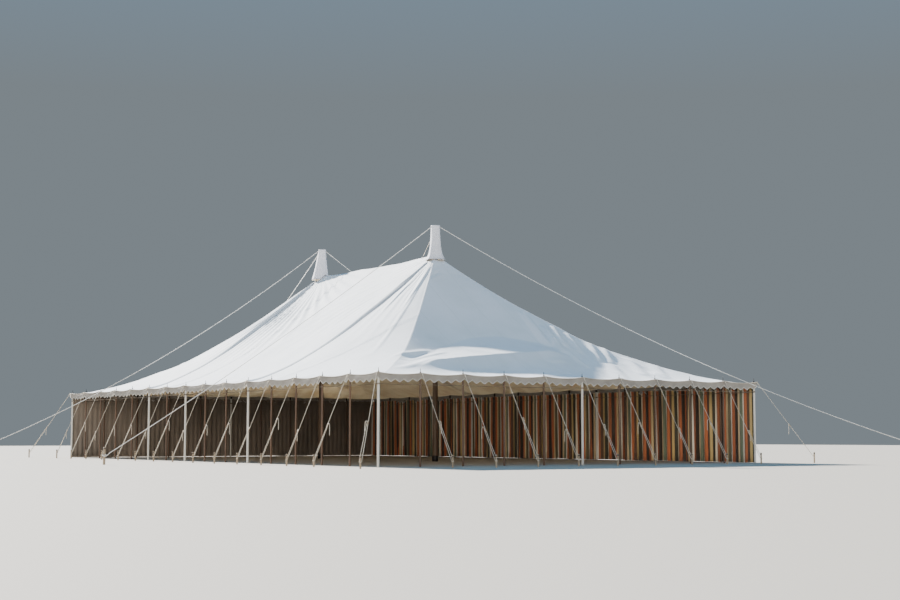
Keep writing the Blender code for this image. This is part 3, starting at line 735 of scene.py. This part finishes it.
# Hoods: a stiff white canvas hood is pulled down over each head block against the rain. It is
# cut square, its seams run down the four corners, and rope stays draw it tight to the roof.
HOOD_TOP = 6.551
HOOD_TURN = -21.0           # degrees, to the way the seams of the hood face
HOOD_WIDTHS = {             # share of the way down it, and half its width there
    "near": [(0.0, 0.119), (0.04, 0.119), (0.30, 0.124), (0.60, 0.140), (0.84, 0.186), (1.0, 0.256)],
    "far": [(0.0, 0.112), (0.04, 0.110), (0.30, 0.140), (0.60, 0.182), (0.84, 0.222), (1.0, 0.258)],
}
HOOD_DRAG = {"near": (0.0, 0.0), "far": (-0.028, -0.042)}     # of its hem along and across
HOOD_HEM_CLEAR = 0.018
HOOD_HEM = {"near": 5.58, "far": 5.595}     # lowest height of the hem, which stands off the slope
HOOD_CLOTH = 0.004
HOOD_CROWN = 0.003          # that the flat top is under the seam round it
HOOD_ROWS = 38
HOOD_COLUMNS = 80
CAP_RINGS = (0.02, 0.35, 0.7, 0.92)     # of the flat top, as shares of its reach
STAY_RADIUS = 0.006
STAY_TOP = 6.30
STAY_REACH = 0.66           # from the pole towards the other pole
STAY_PATCH = [(0.004, 0.010), (0.045, 0.009), (0.052, 0.007), (0.054, 0.001)]     # radius, lift

hood_canvas = Finish("hood_canvas", 0.8, sheen=0.15)
hood_stain = hood_canvas.noise(3.0, 1.0, (1, 1, 0.4))
hood_hem = hood_canvas.mark("tint")
hood_shade = hood_canvas.blend(hood_stain.rise(0.4, 0.8) * 0.5, (0.78, 0.78, 0.83), (0.62, 0.63, 0.70))
# The dark band at the hem is partly its doubled, stitched cloth and partly painted shade of the gap
# under the hem.
hood_canvas.paint(hood_canvas.blend(hood_hem.rise(0.5, 0.6) * 0.6, hood_shade, (0.36, 0.36, 0.40)))
hood_canvas.emboss(hood_hem.rise(0.3, 0.5) * 0.5, 0.003)


def hood_reach(turns, share, word="near"):
    """Distance of the hood's cloth from its pole at angles round it and shares down it."""
    facing = turns - math.radians(HOOD_TURN)
    power = 2.9 + 1.3 * np.sin(math.pi * share)
    corner = (np.abs(np.cos(facing)) ** power + np.abs(np.sin(facing)) ** power) ** (-1 / power)
    width = np.interp(share, *zip(*HOOD_WIDTHS[word]))
    ear = (corner - 1) * np.exp(-(share / 0.05) ** 2) * 0.05
    drag = 0.0035 * np.sin(10 * facing + 9 * share) * np.sin(share * math.pi)
    flute = 0.010 * np.sin(6 * facing + 0.7) * np.clip(share - 0.55, 0, 1) / 0.45
    return width * corner + ear + drag + flute


def hood_points(middle_x, word):
    turns = np.arange(HOOD_COLUMNS)[None, :] / HOOD_COLUMNS * math.tau
    share = np.linspace(0, 1, HOOD_ROWS)[:, None]
    reach = hood_reach(turns, share, word)
    x = middle_x + reach * np.cos(turns) + HOOD_DRAG[word][0] * share
    y = reach * np.sin(turns) + HOOD_DRAG[word][1] * share
    hem = np.maximum(roof_height(x[-1], y[-1]) + HOOD_HEM_CLEAR, HOOD_HEM[word])
    z = HOOD_TOP - HOOD_CLOTH + (hem - HOOD_TOP) * share
    wall = np.stack([x, y, z], axis=-1)
    cap = []
    for part in CAP_RINGS:
        ring = np.array([middle_x, 0, 0]) + (wall[0] - (middle_x, 0, 0)) * (part, part, 1)
        ring[:, 2] = HOOD_TOP - HOOD_CROWN * part ** 4
        cap.append(ring)
    tint = np.concatenate([np.zeros(len(CAP_RINGS)), (share[:, 0] > 0.965) * 1.0])
    return np.concatenate([cap, wall]), np.broadcast_to(tint[:, None], (len(tint), HOOD_COLUMNS))


for word, side in KING_POLES:
    middle_x = side * KING_X
    hood = Shape()
    points, tint = hood_points(middle_x, word)
    hood.grid(points, looped=True, tint=tint)
    piece = hood.make(f"hood_cloth_{word}", [hood_canvas.material, underside])
    thicken(piece, HOOD_CLOTH)
    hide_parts(f"hood_{word}")
    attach(piece, "root")

stay = Shape()
out = np.array([-1.0, 0.0, 0.0])
share = (HOOD_TOP - STAY_TOP) / (HOOD_TOP - PEAK_HEIGHT)
start = np.array([KING_X, 0, STAY_TOP]) + out * (hood_reach(math.pi, share) - 0.004)
end = np.array([KING_X, 0, 0]) + out * STAY_REACH
end[2] = cloth_height(end[0], end[1]) + 0.020
add_rope(stay, [start, end], STAY_RADIUS, 0.08, 0.012)
add_ring(stay, start + out * 0.006, 0.011, 0.003, out, 14, 6, 1)
add_ring(stay, end, 0.016, 0.004, np.cross(out, (0, 0, 1)), 16, 6, 1)
around = np.arange(20) / 20 * math.tau
patch = []
for radius, lift in STAY_PATCH:
    x = end[0] + radius * np.cos(around)
    y = end[1] + radius * np.sin(around)
    patch.append(np.stack([x, y, cloth_height(x, y) + lift], axis=-1))
# The patch uses the flap's canvas, so at the middle tint it takes half of that finish's painted shade.
stay.grid(patch, looped=True, finish=2)
piece = stay.make("hood_stay_near", [cream_rope, black_iron, flap_cloth.material])
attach(piece, "root")


# Valance: a strip of grey-white cloth sewn under the eave of each section, cut in pointed teeth
# along its foot and bound with white tape.
VALANCE_BAND = 0.115
TOOTH_DROP = 0.070
TEETH = 5                   # in each pole space
VALANCE_CLOTH = 0.002
BINDING = 0.018
TOOTH_COLUMNS = 6

valance_cloth = Finish("valance_cloth", 0.85, sheen=0.15)
dust = valance_cloth.noise(3.0, 4.0)
ripple = valance_cloth.noise(240.0, 1.0)
bound = valance_cloth.mark("tint")
# The strip is painted darker than its grey-white cloth, as painted shade under the eave; the white
# binding is its own colour.
shaded_strip_colour = valance_cloth.blend(dust.rise(0.35, 0.8), (0.36, 0.33, 0.29), (0.27, 0.24, 0.21))
valance_cloth.paint(valance_cloth.blend(bound > 0.5, shaded_strip_colour, (0.58, 0.57, 0.54)))
valance_cloth.emboss(ripple * 0.3 + bound.rise(0.4, 0.6) * 0.6, 0.002)


def side_edge(side):
    """Points along the edge of the eave on one long side, from the function's place along it."""
    return lambda along: cloth_points(along, np.full(len(along), side * HALF_WIDTH))


def end_edge(facing):
    return lambda along: cloth_points(np.full(len(along), facing * HALF_LENGTH), along)


def hang_valance(name, edge, inward, start, end, teeth):
    columns = np.linspace(start, end, teeth * TOOTH_COLUMNS + 1)
    wave = np.abs((np.arange(len(columns)) / TOOTH_COLUMNS + 0.5) % 1 - 0.5) * 2
    depth = VALANCE_BAND + TOOTH_DROP * wave
    edge_points = edge(columns) + np.asarray(inward) * 0.004
    drops = [np.zeros(len(columns)), depth * 0.25, depth * 0.5, depth * 0.72]
    drops += [depth - BINDING * 1.01, depth - BINDING, depth]
    flutter = unevenness(columns, columns * 0 + start, 0.31, 11)
    rows = []
    for drop in drops:
        sway = np.asarray(inward) * (drop * 0.12 * flutter)[:, None]
        rows.append(edge_points + sway - (0, 0, 1) * (drop + CANVAS + 0.001)[:, None])
    tint = np.zeros((len(drops), len(columns)))
    tint[-2:] = 1.0
    valance = Shape()
    valance.grid(rows, tint=tint)
    piece = valance.make(f"{name}_cloth", [valance_cloth.material])
    thicken(piece, VALANCE_CLOTH, lined=False)
    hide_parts(name)
    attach(piece, "root")


section_starts = {"far": -HALF_LENGTH, "middle": -KING_X, "near": KING_X}
section_length = SIDE_SPACE * SIDE_SPACES / 3
for label, start in section_starts.items():
    for word, side in SIDES:
        hang_valance(f"valance_{word}_{label}", side_edge(side), (0, -side, 0), start,
                     start + section_length, TEETH * SIDE_SPACES // 3)
for label, facing in ENDS:
    reach = HALF_WIDTH - 0.006
    hang_valance(f"valance_{label}_end", end_edge(facing), (-facing, 0, 0), -reach, reach,
                 TEETH * END_SPACES)


# Side poles: turned ash poles, varnished brown, with white ones at the corners, at the seams and
# here and there between. An iron spike at the head goes through an eyelet in the eave, and a
# rope lashed along the outside of the poles carries the wall cloths.
POLE_INSET = 0.060
POLE_HEAD = 2.087
SPIKE_TIP = 2.199
SPIKE_RADIUS = 0.007
BROWN_RADIUS = 0.023
WHITE_RADIUS = 0.029
WALL_ROPE_HEIGHT = 1.84
WALL_ROPE_OUT = 0.025
WALL_ROPE_RADIUS = 0.008
WALL_ROPE_SAG = 0.012
WALL_ROPE_CUT = 0.034       # of its end, short of the next section's first pole
WHITE_SIDES = (-0.66, -KING_X, KING_X)
POLE_SIDES = 16
SHAFT = [                   # share of the radius, height
    (0.80, 0), (0.98, 0.012), (1, 0.05), (1, 1.92), (0.94, 1.99), (0.90, POLE_HEAD - 0.006),
    (0.80, POLE_HEAD),
]
FERRULE_PROUD = 0.0015
SPIKE = [                   # radius, height, with the collar that the eave rests on
    (SPIKE_RADIUS, POLE_HEAD - 0.05), (SPIKE_RADIUS, EAVE_HEIGHT + 0.002),
    (0.020, EAVE_HEIGHT + 0.003), (0.022, EAVE_HEIGHT + 0.010), (0.017, EAVE_HEIGHT + 0.022),
    (0.009, EAVE_HEIGHT + 0.028), (SPIKE_RADIUS, EAVE_HEIGHT + 0.032),
    (SPIKE_RADIUS * 0.85, SPIKE_TIP - 0.012), (SPIKE_RADIUS * 0.3, SPIKE_TIP),
]
LASHING_TURNS = 4
LASHING_WIRE = 0.0045

POLE_X = HALF_LENGTH - POLE_INSET
POLE_Y = HALF_WIDTH - POLE_INSET
brown_wood = wood_finish("varnished_ash", (0.165, 0.088, 0.046), (0.068, 0.034, 0.019), 0.42)
brown_rope = rope_finish("brown_rope", (0.26, 0.20, 0.14), (0.11, 0.08, 0.05))
white_wood = wood_finish("white_painted_wood", (0.80, 0.79, 0.75), (0.60, 0.57, 0.50), 0.5)


def add_side_pole(shape, x, y, white):
    radius = WHITE_RADIUS if white else BROWN_RADIUS
    wood = 2 if white else 1
    shaft = [(radius * share, height) for share, height in SHAFT]
    shape.turn(shaft, (x, y, 0), POLE_SIDES, finish=wood)
    outer = radius + FERRULE_PROUD
    ferrule = [(radius * 0.9, 1.995), (outer, 1.996), (outer, 2.066), (radius * 0.88, 2.068)]
    shape.turn(ferrule, (x, y, 0), POLE_SIDES, capped=False)
    shape.turn(SPIKE, (x, y, 0), 12)


def wall_rope_path(first, last, spaces):
    """Path of the wall rope, which hangs a little between the poles."""
    share = np.linspace(0, 1, spaces * 8 + 1)[:, None]
    path = np.asarray(first) + (np.asarray(last) - first) * share
    path[:, 2:] -= WALL_ROPE_SAG * arch(share * spaces % 1)
    return path


def set_pole_row(name, spots, rope_path):
    row = Shape()
    for x, y, white in spots:
        add_side_pole(row, x, y, white)
    add_rope(row, rope_path, WALL_ROPE_RADIUS, 0.10, 0.02, 3)
    for x, y, white in spots:
        radius = (WHITE_RADIUS if white else BROWN_RADIUS) + 0.004
        for turn in range(LASHING_TURNS):
            height = WALL_ROPE_HEIGHT - 0.012 + turn * 0.008
            add_ring(row, (x, y, height), radius, LASHING_WIRE, steps=12, sides=5, finish=3)
    piece = row.make(f"{name}_turned", [black_iron, brown_wood, white_wood, brown_rope])
    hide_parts(name)
    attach(piece, "root")


side_xs = [-HALF_LENGTH + SIDE_SPACE * step for step in range(SIDE_SPACES + 1)]
side_xs[0], side_xs[-1] = -POLE_X, POLE_X
end_ys = [-HALF_WIDTH + END_SPACE * step for step in range(1, END_SPACES)]
section_xs = {"far": side_xs[:5], "middle": side_xs[5:10], "near": side_xs[10:]}
for label, xs in section_xs.items():
    for word, side in SIDES:
        spots = []
        for x in xs:
            extra = WHITE_SIDES if word == "front" else WHITE_SIDES[1:]
            white = abs(x) == POLE_X or any(abs(x - other) < 0.01 for other in extra)
            spots.append((x, side * POLE_Y, white))
        start = xs[0]
        end = POLE_X if label == "near" else start + SIDE_SPACE * 5 - WALL_ROPE_CUT
        y = side * (POLE_Y + WALL_ROPE_OUT)
        path = wall_rope_path((start, y, WALL_ROPE_HEIGHT), (end, y, WALL_ROPE_HEIGHT), 5)
        set_pole_row(f"side_poles_{word}_{label}", spots, path)
for label, facing in ENDS:
    spots = [(facing * POLE_X, y, abs(y) < 0.01) for y in end_ys]
    x = facing * (POLE_X + WALL_ROPE_OUT)
    reach = POLE_Y - 0.025
    path = wall_rope_path((x, -reach, WALL_ROPE_HEIGHT), (x, reach, WALL_ROPE_HEIGHT), END_SPACES)
    set_pole_row(f"side_poles_{label}_end", spots, path)


# Wall cloths: lengths of cotton gathered on iron rings along the wall rope. Those of the back are
# woven in upright stripes of rust, ochre, olive and cream; the far end's is drab, darkened by painted
# shade.
WALL_TOP = WALL_ROPE_HEIGHT + 0.140
WALL_HEADING = 0.050        # of the cloth where it passes outside its rope, to the rope's middle
WALL_HEM = 0.006
WALL_FACE = 0.0255          # from the middle of the poles
PLEAT = 0.17
PLEAT_COLUMNS = 9
PLEAT_DEPTH = 0.044
WALL_ROWS = 12
WALL_THICK = 0.002
RING_SIZE = (0.016, 0.0022) # radius and wire of the curtain rings
STRIPE_REPEAT = 1.52

stripes = Finish("striped_cotton", 0.9, sheen=0.25)
repeat = (stripes.axes()[0] / STRIPE_REPEAT + 0.31).fraction()
STRIPES = [
    (0.00, (0.56, 0.16, 0.065)), (0.07, (0.72, 0.54, 0.29)), (0.12, (0.15, 0.13, 0.075)),
    (0.19, (0.95, 0.87, 0.74)), (0.22, (0.43, 0.13, 0.055)), (0.29, (0.045, 0.03, 0.02)),
    (0.36, (0.74, 0.56, 0.33)), (0.41, (0.18, 0.21, 0.14)), (0.48, (0.95, 0.87, 0.74)),
    (0.51, (0.58, 0.18, 0.075)), (0.58, (0.16, 0.09, 0.055)), (0.65, (0.66, 0.47, 0.20)),
    (0.71, (0.06, 0.055, 0.035)), (0.79, (0.88, 0.77, 0.58)), (0.83, (0.53, 0.17, 0.075)),
    (0.91, (0.055, 0.036, 0.025)),
]
stripe_colour = stripes.add("ValToRGB", {}, {0: repeat})
ramp = stripe_colour.socket.node.color_ramp
ramp.interpolation = "CONSTANT"
while len(ramp.elements) < len(STRIPES):
    ramp.elements.new(1.0)
for stop, (position, colour) in zip(ramp.elements, STRIPES):
    stop.position = position
    stop.color = (*colour, 1.0)
fade = stripes.noise(1.3, 4.0, (1, 1, 0.5))
thread = stripes.noise(520.0, 1.0)
stripes.paint(stripes.blend(fade.rise(0.45, 0.85) * 0.15, stripe_colour, (0.48, 0.42, 0.34)))
stripes.emboss(thread, 0.0012)

# Its dark brown is partly the drab cloth and partly painted shade inside the far end.
drab = Finish("drab_cotton", 0.9, sheen=0.25)
cloud = drab.noise(1.6, 4.0, (1, 1, 0.5))
slub = drab.noise(300.0, 2.0, (1, 1, 0.2))
drab.paint(drab.blend(cloud.rise(0.3, 0.75), (0.23, 0.19, 0.155), (0.16, 0.133, 0.107)))
drab.emboss(slub, 0.0012)


def hang_wall(name, start, end, place, finish, seed):
    """Hang one wall cloth. place(along, out, height) gives points of the tent."""
    pleats = round((end - start) / PLEAT)
    along = np.linspace(start, end, pleats * PLEAT_COLUMNS + 1)[None, :]
    low = (np.linspace(0, 1, WALL_ROWS) ** 1.5)[:, None]
    wander = unevenness(along, low * 0.9, 0.55, seed)
    phase = (along - start) / (end - start) * pleats * math.tau + 1.6 * wander
    deep = 0.75 + 0.5 * unevenness(along, low * 0.4, 0.8, seed + 5)
    ends = np.clip(np.minimum(along - start, end - along) / 0.1, 0, 1)
    out = PLEAT_DEPTH * deep * (0.18 + 0.82 * low ** 0.7) * (0.5 - 0.5 * np.cos(phase)) * ends
    shift = 0.018 * np.sin(phase * 2) * low
    height = WALL_TOP + (WALL_HEM - WALL_TOP) * low - 0.010 * (1 - np.cos(phase)) * (1 - low) ** 8
    near_rope = np.exp(-((height - WALL_ROPE_HEIGHT) / WALL_HEADING) ** 2)
    out = np.maximum(out, 0.012 * near_rope)
    height = height + 0.008 * unevenness(along, low, 0.4, seed + 9) * low ** 4
    wall = Shape()
    wall.grid(place(along + shift * ends, out, height))
    piece = wall.make(f"{name}_cloth", [finish])
    thicken(piece, WALL_THICK, lined=False)
    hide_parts(name)
    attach(piece, "root")
    rings = Shape()
    tops = np.linspace(start, end, pleats + 1)[1:-1]
    spots = place(tops, np.full(len(tops), 0.004), np.full(len(tops), WALL_ROPE_HEIGHT))
    normal = np.diff(place(np.arange(2), np.zeros(2), np.zeros(2)), axis=0)[0]
    for spot in spots:
        add_ring(rings, spot, *RING_SIZE, normal, 12, 5)
    piece = rings.make(f"{name}_rings", [black_iron])
    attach(piece, "root")


def back_place(along, out, height):
    return np.stack([along + 0 * out, POLE_Y + WALL_FACE + out, height + 0 * out], axis=-1)


def end_place(along, out, height):
    return np.stack([-(POLE_X + WALL_FACE + out), along + 0 * out, height + 0 * out], axis=-1)


for seed, (label, start) in enumerate(section_starts.items()):
    first = max(start, -POLE_X)
    last = min(start + section_length, POLE_X)
    hang_wall(f"wall_back_{label}", first, last, back_place, stripes.material,
              seed)
hang_wall("wall_far_end", -POLE_Y, POLE_Y, end_place, drab.material, 3)


# Guy ropes: laid natural rope, spliced to the bolt rope that is sewn round the eave. Each guy goes
# round a wooden stake and back up through a wooden runner, which slides to draw it taut.
BOLT_RADIUS = 0.008
GUY_RADIUS = 0.0075
SIDE_GUY_REACH = 0.86
END_GUY_REACH = 1.26
CORNER_GUY_REACH = 1.00
STAKE_RADIUS = 0.020
STAKE_HEIGHT = 0.28
TIE_HEIGHT = 0.14
RUNNER_LENGTH = 0.13
RUNNER_WIDTH = 0.046
RUNNER_DEPTH = 0.020
RUNNER_SHARES = (0.42, 0.36, 0.47, 0.33, 0.40)     # of the way up the rope, one after the other
RUNNER_PLACES = (-1, -0.97, -0.85, -0.4, 0.0, 0.4, 0.85, 0.97, 1)
ROPE_LAY = 0.09
TAIL = [(0, 0), (0.030, 0.006), (0.046, -0.05), (0.050, -0.16), (0.047, -0.27)]   # out, up
STAKE_BAND = (0.045, 0.025) # lower and upper edge of the iron band, below the head

stake_wood = wood_finish("stake_wood", (0.52, 0.42, 0.30), (0.30, 0.22, 0.14), 0.75)


def add_stake(shape, foot, radius, height):
    """A round stake, made of the second finish of its shape, with a band of the third."""
    place = (foot[0], foot[1], 0)
    profile = [(radius * 0.9, 0), (radius, 0.01), (radius, height - 0.016)]
    profile += [(radius * 0.9, height - 0.005), (radius * 0.6, height)]
    shape.turn(profile, place, 14, finish=1)
    low, high = [height - below for below in STAKE_BAND]
    inner, outer = radius - BAND_LET_IN, radius + FERRULE_PROUD
    band = [(inner, low), (outer, low), (outer, high), (inner, high)]
    shape.turn(band, place, 14, capped=False, finish=2)


def add_runner(shape, middle, along, across):
    """A wooden runner: a rounded slip of wood, thickest at its middle, with a rope hole each end."""
    over = np.cross(along, across)
    turns = np.arange(12) / 12 * math.tau
    rings = []
    for share in RUNNER_PLACES:
        fullness = (1 - abs(share) ** 5) ** 0.5 * 0.85 + 0.15
        wide = RUNNER_WIDTH / 2 * fullness
        thick = RUNNER_DEPTH / 2 * fullness
        place = middle + along * share * RUNNER_LENGTH / 2
        ring = np.cos(turns)[:, None] * across * wide + np.sin(turns)[:, None] * over * thick
        rings.append(place + ring)
    shape.grid(rings, looped=True, capped=True, finish=1)


def add_guy(shape, top, foot, share, tail_side):
    """A guy from the eave round its stake and back up to its runner, with its loose tail."""
    top = np.asarray(top, float)
    foot = np.asarray(foot, float)
    along = (top - foot) / np.linalg.norm(top - foot)
    level = (foot - top) * (1, 1, 0)
    level /= np.linalg.norm(level)
    aside = np.array([-level[1], level[0], 0]) * tail_side
    bend = STAKE_RADIUS + GUY_RADIUS
    turns = np.linspace(0, math.pi, 9)[:, None]
    loop = foot + bend * (np.cos(turns) * aside + np.sin(turns) * level)
    runner = foot + (top - foot) * share
    above = runner + along * RUNNER_LENGTH * 0.4
    path = [top, *loop, runner - aside * 0.018, above - aside * 0.014]
    add_rope(shape, path, GUY_RADIUS, ROPE_LAY)
    add_runner(shape, runner, along, aside)
    hang = above - aside * 0.016
    tail = [hang - aside * out + (0, 0, up) for out, up in TAIL]
    add_rope(shape, tail, GUY_RADIUS * 0.9, ROPE_LAY, 0.012)
    splice = [top, top + (foot - top) * 0.03]
    add_rod(shape, evenly(splice, 0.012), GUY_RADIUS + 0.003, 8)
    add_stake(shape, foot, STAKE_RADIUS, STAKE_HEIGHT)


def set_guy_row(name, edge, outward, start, end, ties):
    """The bolt rope along one edge of the eave, with its guys."""
    row = Shape()
    along = np.linspace(start, end, round((end - start) / 0.03) + 1)
    bolt = edge(along) + np.asarray(outward) * (BOLT_RADIUS + 0.001) - (0, 0, CANVAS / 2)
    add_rope(row, bolt, BOLT_RADIUS, 0.10)
    for step, (place, foot) in enumerate(ties):
        top = edge(np.array([place]))[0] + np.asarray(outward) * 0.012 - (0, 0, 0.006)
        share = RUNNER_SHARES[step % len(RUNNER_SHARES)]
        side = 1 if step % 2 else -1
        add_guy(row, top, (*foot, TIE_HEIGHT), share, side)
    piece = row.make(f"{name}_laid", [cream_rope, stake_wood, black_iron])
    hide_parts(name)
    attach(piece, "root")


for label, xs in section_xs.items():
    start = section_starts[label]
    for word, side in SIDES:
        ties = []
        for x in xs:
            corner = abs(x) == POLE_X
            reach = CORNER_GUY_REACH if corner else SIDE_GUY_REACH
            foot_x = math.copysign(HALF_LENGTH + CORNER_GUY_REACH, x) if corner else x
            tie_x = math.copysign(HALF_LENGTH - 0.014, x) if corner else x
            ties.append((tie_x, (foot_x, side * (HALF_WIDTH + reach))))
        set_guy_row(f"guys_{word}_{label}", side_edge(side), (0, side, 0), start,
                    start + section_length, ties)
for label, facing in ENDS:
    ties = [(y, (facing * (HALF_LENGTH + END_GUY_REACH), y)) for y in end_ys]
    set_guy_row(f"guys_{label}_end", end_edge(facing), (facing, 0, 0), -HALF_WIDTH, HALF_WIDTH, ties)


# Storm guys: long ropes from the heads of the king poles, out over the roof to heavy stakes. Each
# passes through an eyelet in the hood and is made fast with round turns about its stake.
STORM_RADIUS = 0.010
STORM_HEAD = 6.52
STORM_FOOT = 0.20
STORM_STAKE_RADIUS = 0.030
STORM_STAKE_HEIGHT = 0.42
STORM_TURNS = 2.25          # of the rope about its stake
STORM_LAY = 0.13
HEAD_BLOCK_RADIUS = 0.105
HOOD_EYELET = 0.07          # share of the way down the hood
STORM_GUYS = {              # pole, way to the stake along and across the tent, and sag
    "far_end": (-KING_X, (-11.10, 0.0), 0.15),
    "far_front": (-KING_X, (0.0, -11.00), 0.50),
    "far_back": (-KING_X, (0.0, 11.00), 0.15),
    "near_front": (KING_X, (0.0, -9.50), 0.15),
    "near_back": (KING_X, (11.10, 7.80), 0.50),
}

# The storm ropes are painted paler than the guys' cream rope, with lighter grooves: painted light
# standing in for the sun on them.
pale_rope = rope_finish("pale_rope", (0.88, 0.86, 0.81), (0.78, 0.76, 0.70))
for label, (pole_x, way, sag) in STORM_GUYS.items():
    foot = np.array([pole_x + way[0], way[1], STORM_FOOT])
    level = np.array([*way, 0.0]) / math.hypot(*way)
    head = np.array([pole_x, 0, STORM_HEAD]) + level * HEAD_BLOCK_RADIUS
    share = np.linspace(0, 1, 60)[:, None]
    route = head + (foot - head) * share
    route[:, 2:] -= sag * arch(share)
    square = np.array([-level[1], level[0], 0])
    bend = STORM_STAKE_RADIUS + STORM_RADIUS
    turns = np.linspace(0, math.tau * STORM_TURNS, 40)[:, None]
    wrap = foot + bend * (np.sin(turns) * square - np.cos(turns) * level)
    wrap[:, 2:] += turns / math.tau * STORM_RADIUS * 2.1
    guy = Shape()
    add_rope(guy, np.concatenate([route[:-1], wrap]), STORM_RADIUS, STORM_LAY, 0.022, hollow=0.9)
    add_stake(guy, foot, STORM_STAKE_RADIUS, STORM_STAKE_HEIGHT)
    reach = hood_reach(math.atan2(level[1], level[0]), HOOD_EYELET, label.split("_")[0])
    spot = np.array([pole_x, 0, 0]) + level * reach
    away = np.hypot(route[:, 0] - pole_x, route[:, 1])
    spot[2] = np.interp(reach, away, route[:, 2])
    add_ring(guy, spot, 0.017, 0.004, level, 16, 6, 2)
    piece = guy.make(f"storm_rope_{label}", [pale_rope, stake_wood, black_iron])
    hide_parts(f"storm_guy_{label}")
    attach(piece, "root")


# Floor and light: a plain pale floor, one soft light from the left of the camera, as the sun
# stood, a faint low one from the camera's side and a pale sky that fills the shade with blue.
FLOOR_SIZE = 160.0
LIGHTS = {                  # degrees from +X to where it comes from, height, spread, strength
    "sun": (182.0, 28.6, 2.0, 17.5, (1.0, 0.97, 0.93)),
    "fill": (325.0, 6.0, 30.0, 1.9, (1.0, 0.91, 0.79)),
}
SKY_LOW = (0.20, 0.235, 0.26)
SKY_HIGH = (0.18, 0.46, 0.80)
SKY_SPAN = (0.22, 0.75)     # heights of the view between which the low tone turns to the high one

floor = Shape()
corner = FLOOR_SIZE / 2
floor.grid([[(-corner, -corner, 0), (corner, -corner, 0)], [(-corner, corner, 0), (corner, corner, 0)]])
floor_finish = Finish("pale_floor", 0.9)
floor_finish.paint((0.46, 0.42, 0.36))
floor.make("floor", [floor_finish.material])

for name, (turn, height, spread, strength, colour) in LIGHTS.items():
    light = bpy.data.objects.new(name, bpy.data.lights.new(name, "SUN"))
    light.data.energy = strength
    light.data.angle = math.radians(spread)
    light.data.color = colour
    light.rotation_euler = (math.radians(90 - height), 0, math.radians(turn + 90))
    bpy.context.scene.collection.objects.link(light)
world = bpy.data.worlds.new("sky")
world.use_nodes = True
sky = world.node_tree
direction = sky.nodes.new("ShaderNodeTexCoord")
heights = sky.nodes.new("ShaderNodeSeparateXYZ")
climb = sky.nodes.new("ShaderNodeMapRange")
climb.inputs["From Min"].default_value, climb.inputs["From Max"].default_value = SKY_SPAN
tones = sky.nodes.new("ShaderNodeMix")
tones.data_type = "RGBA"
tones.inputs[6].default_value = (*SKY_LOW, 1.0)
tones.inputs[7].default_value = (*SKY_HIGH, 1.0)
sky.links.new(direction.outputs["Generated"], heights.inputs[0])
sky.links.new(heights.outputs["Z"], climb.inputs["Value"])
sky.links.new(climb.outputs[0], tones.inputs[0])
sky.links.new(tones.outputs[2], sky.nodes["Background"].inputs["Color"])
bpy.context.scene.world = world
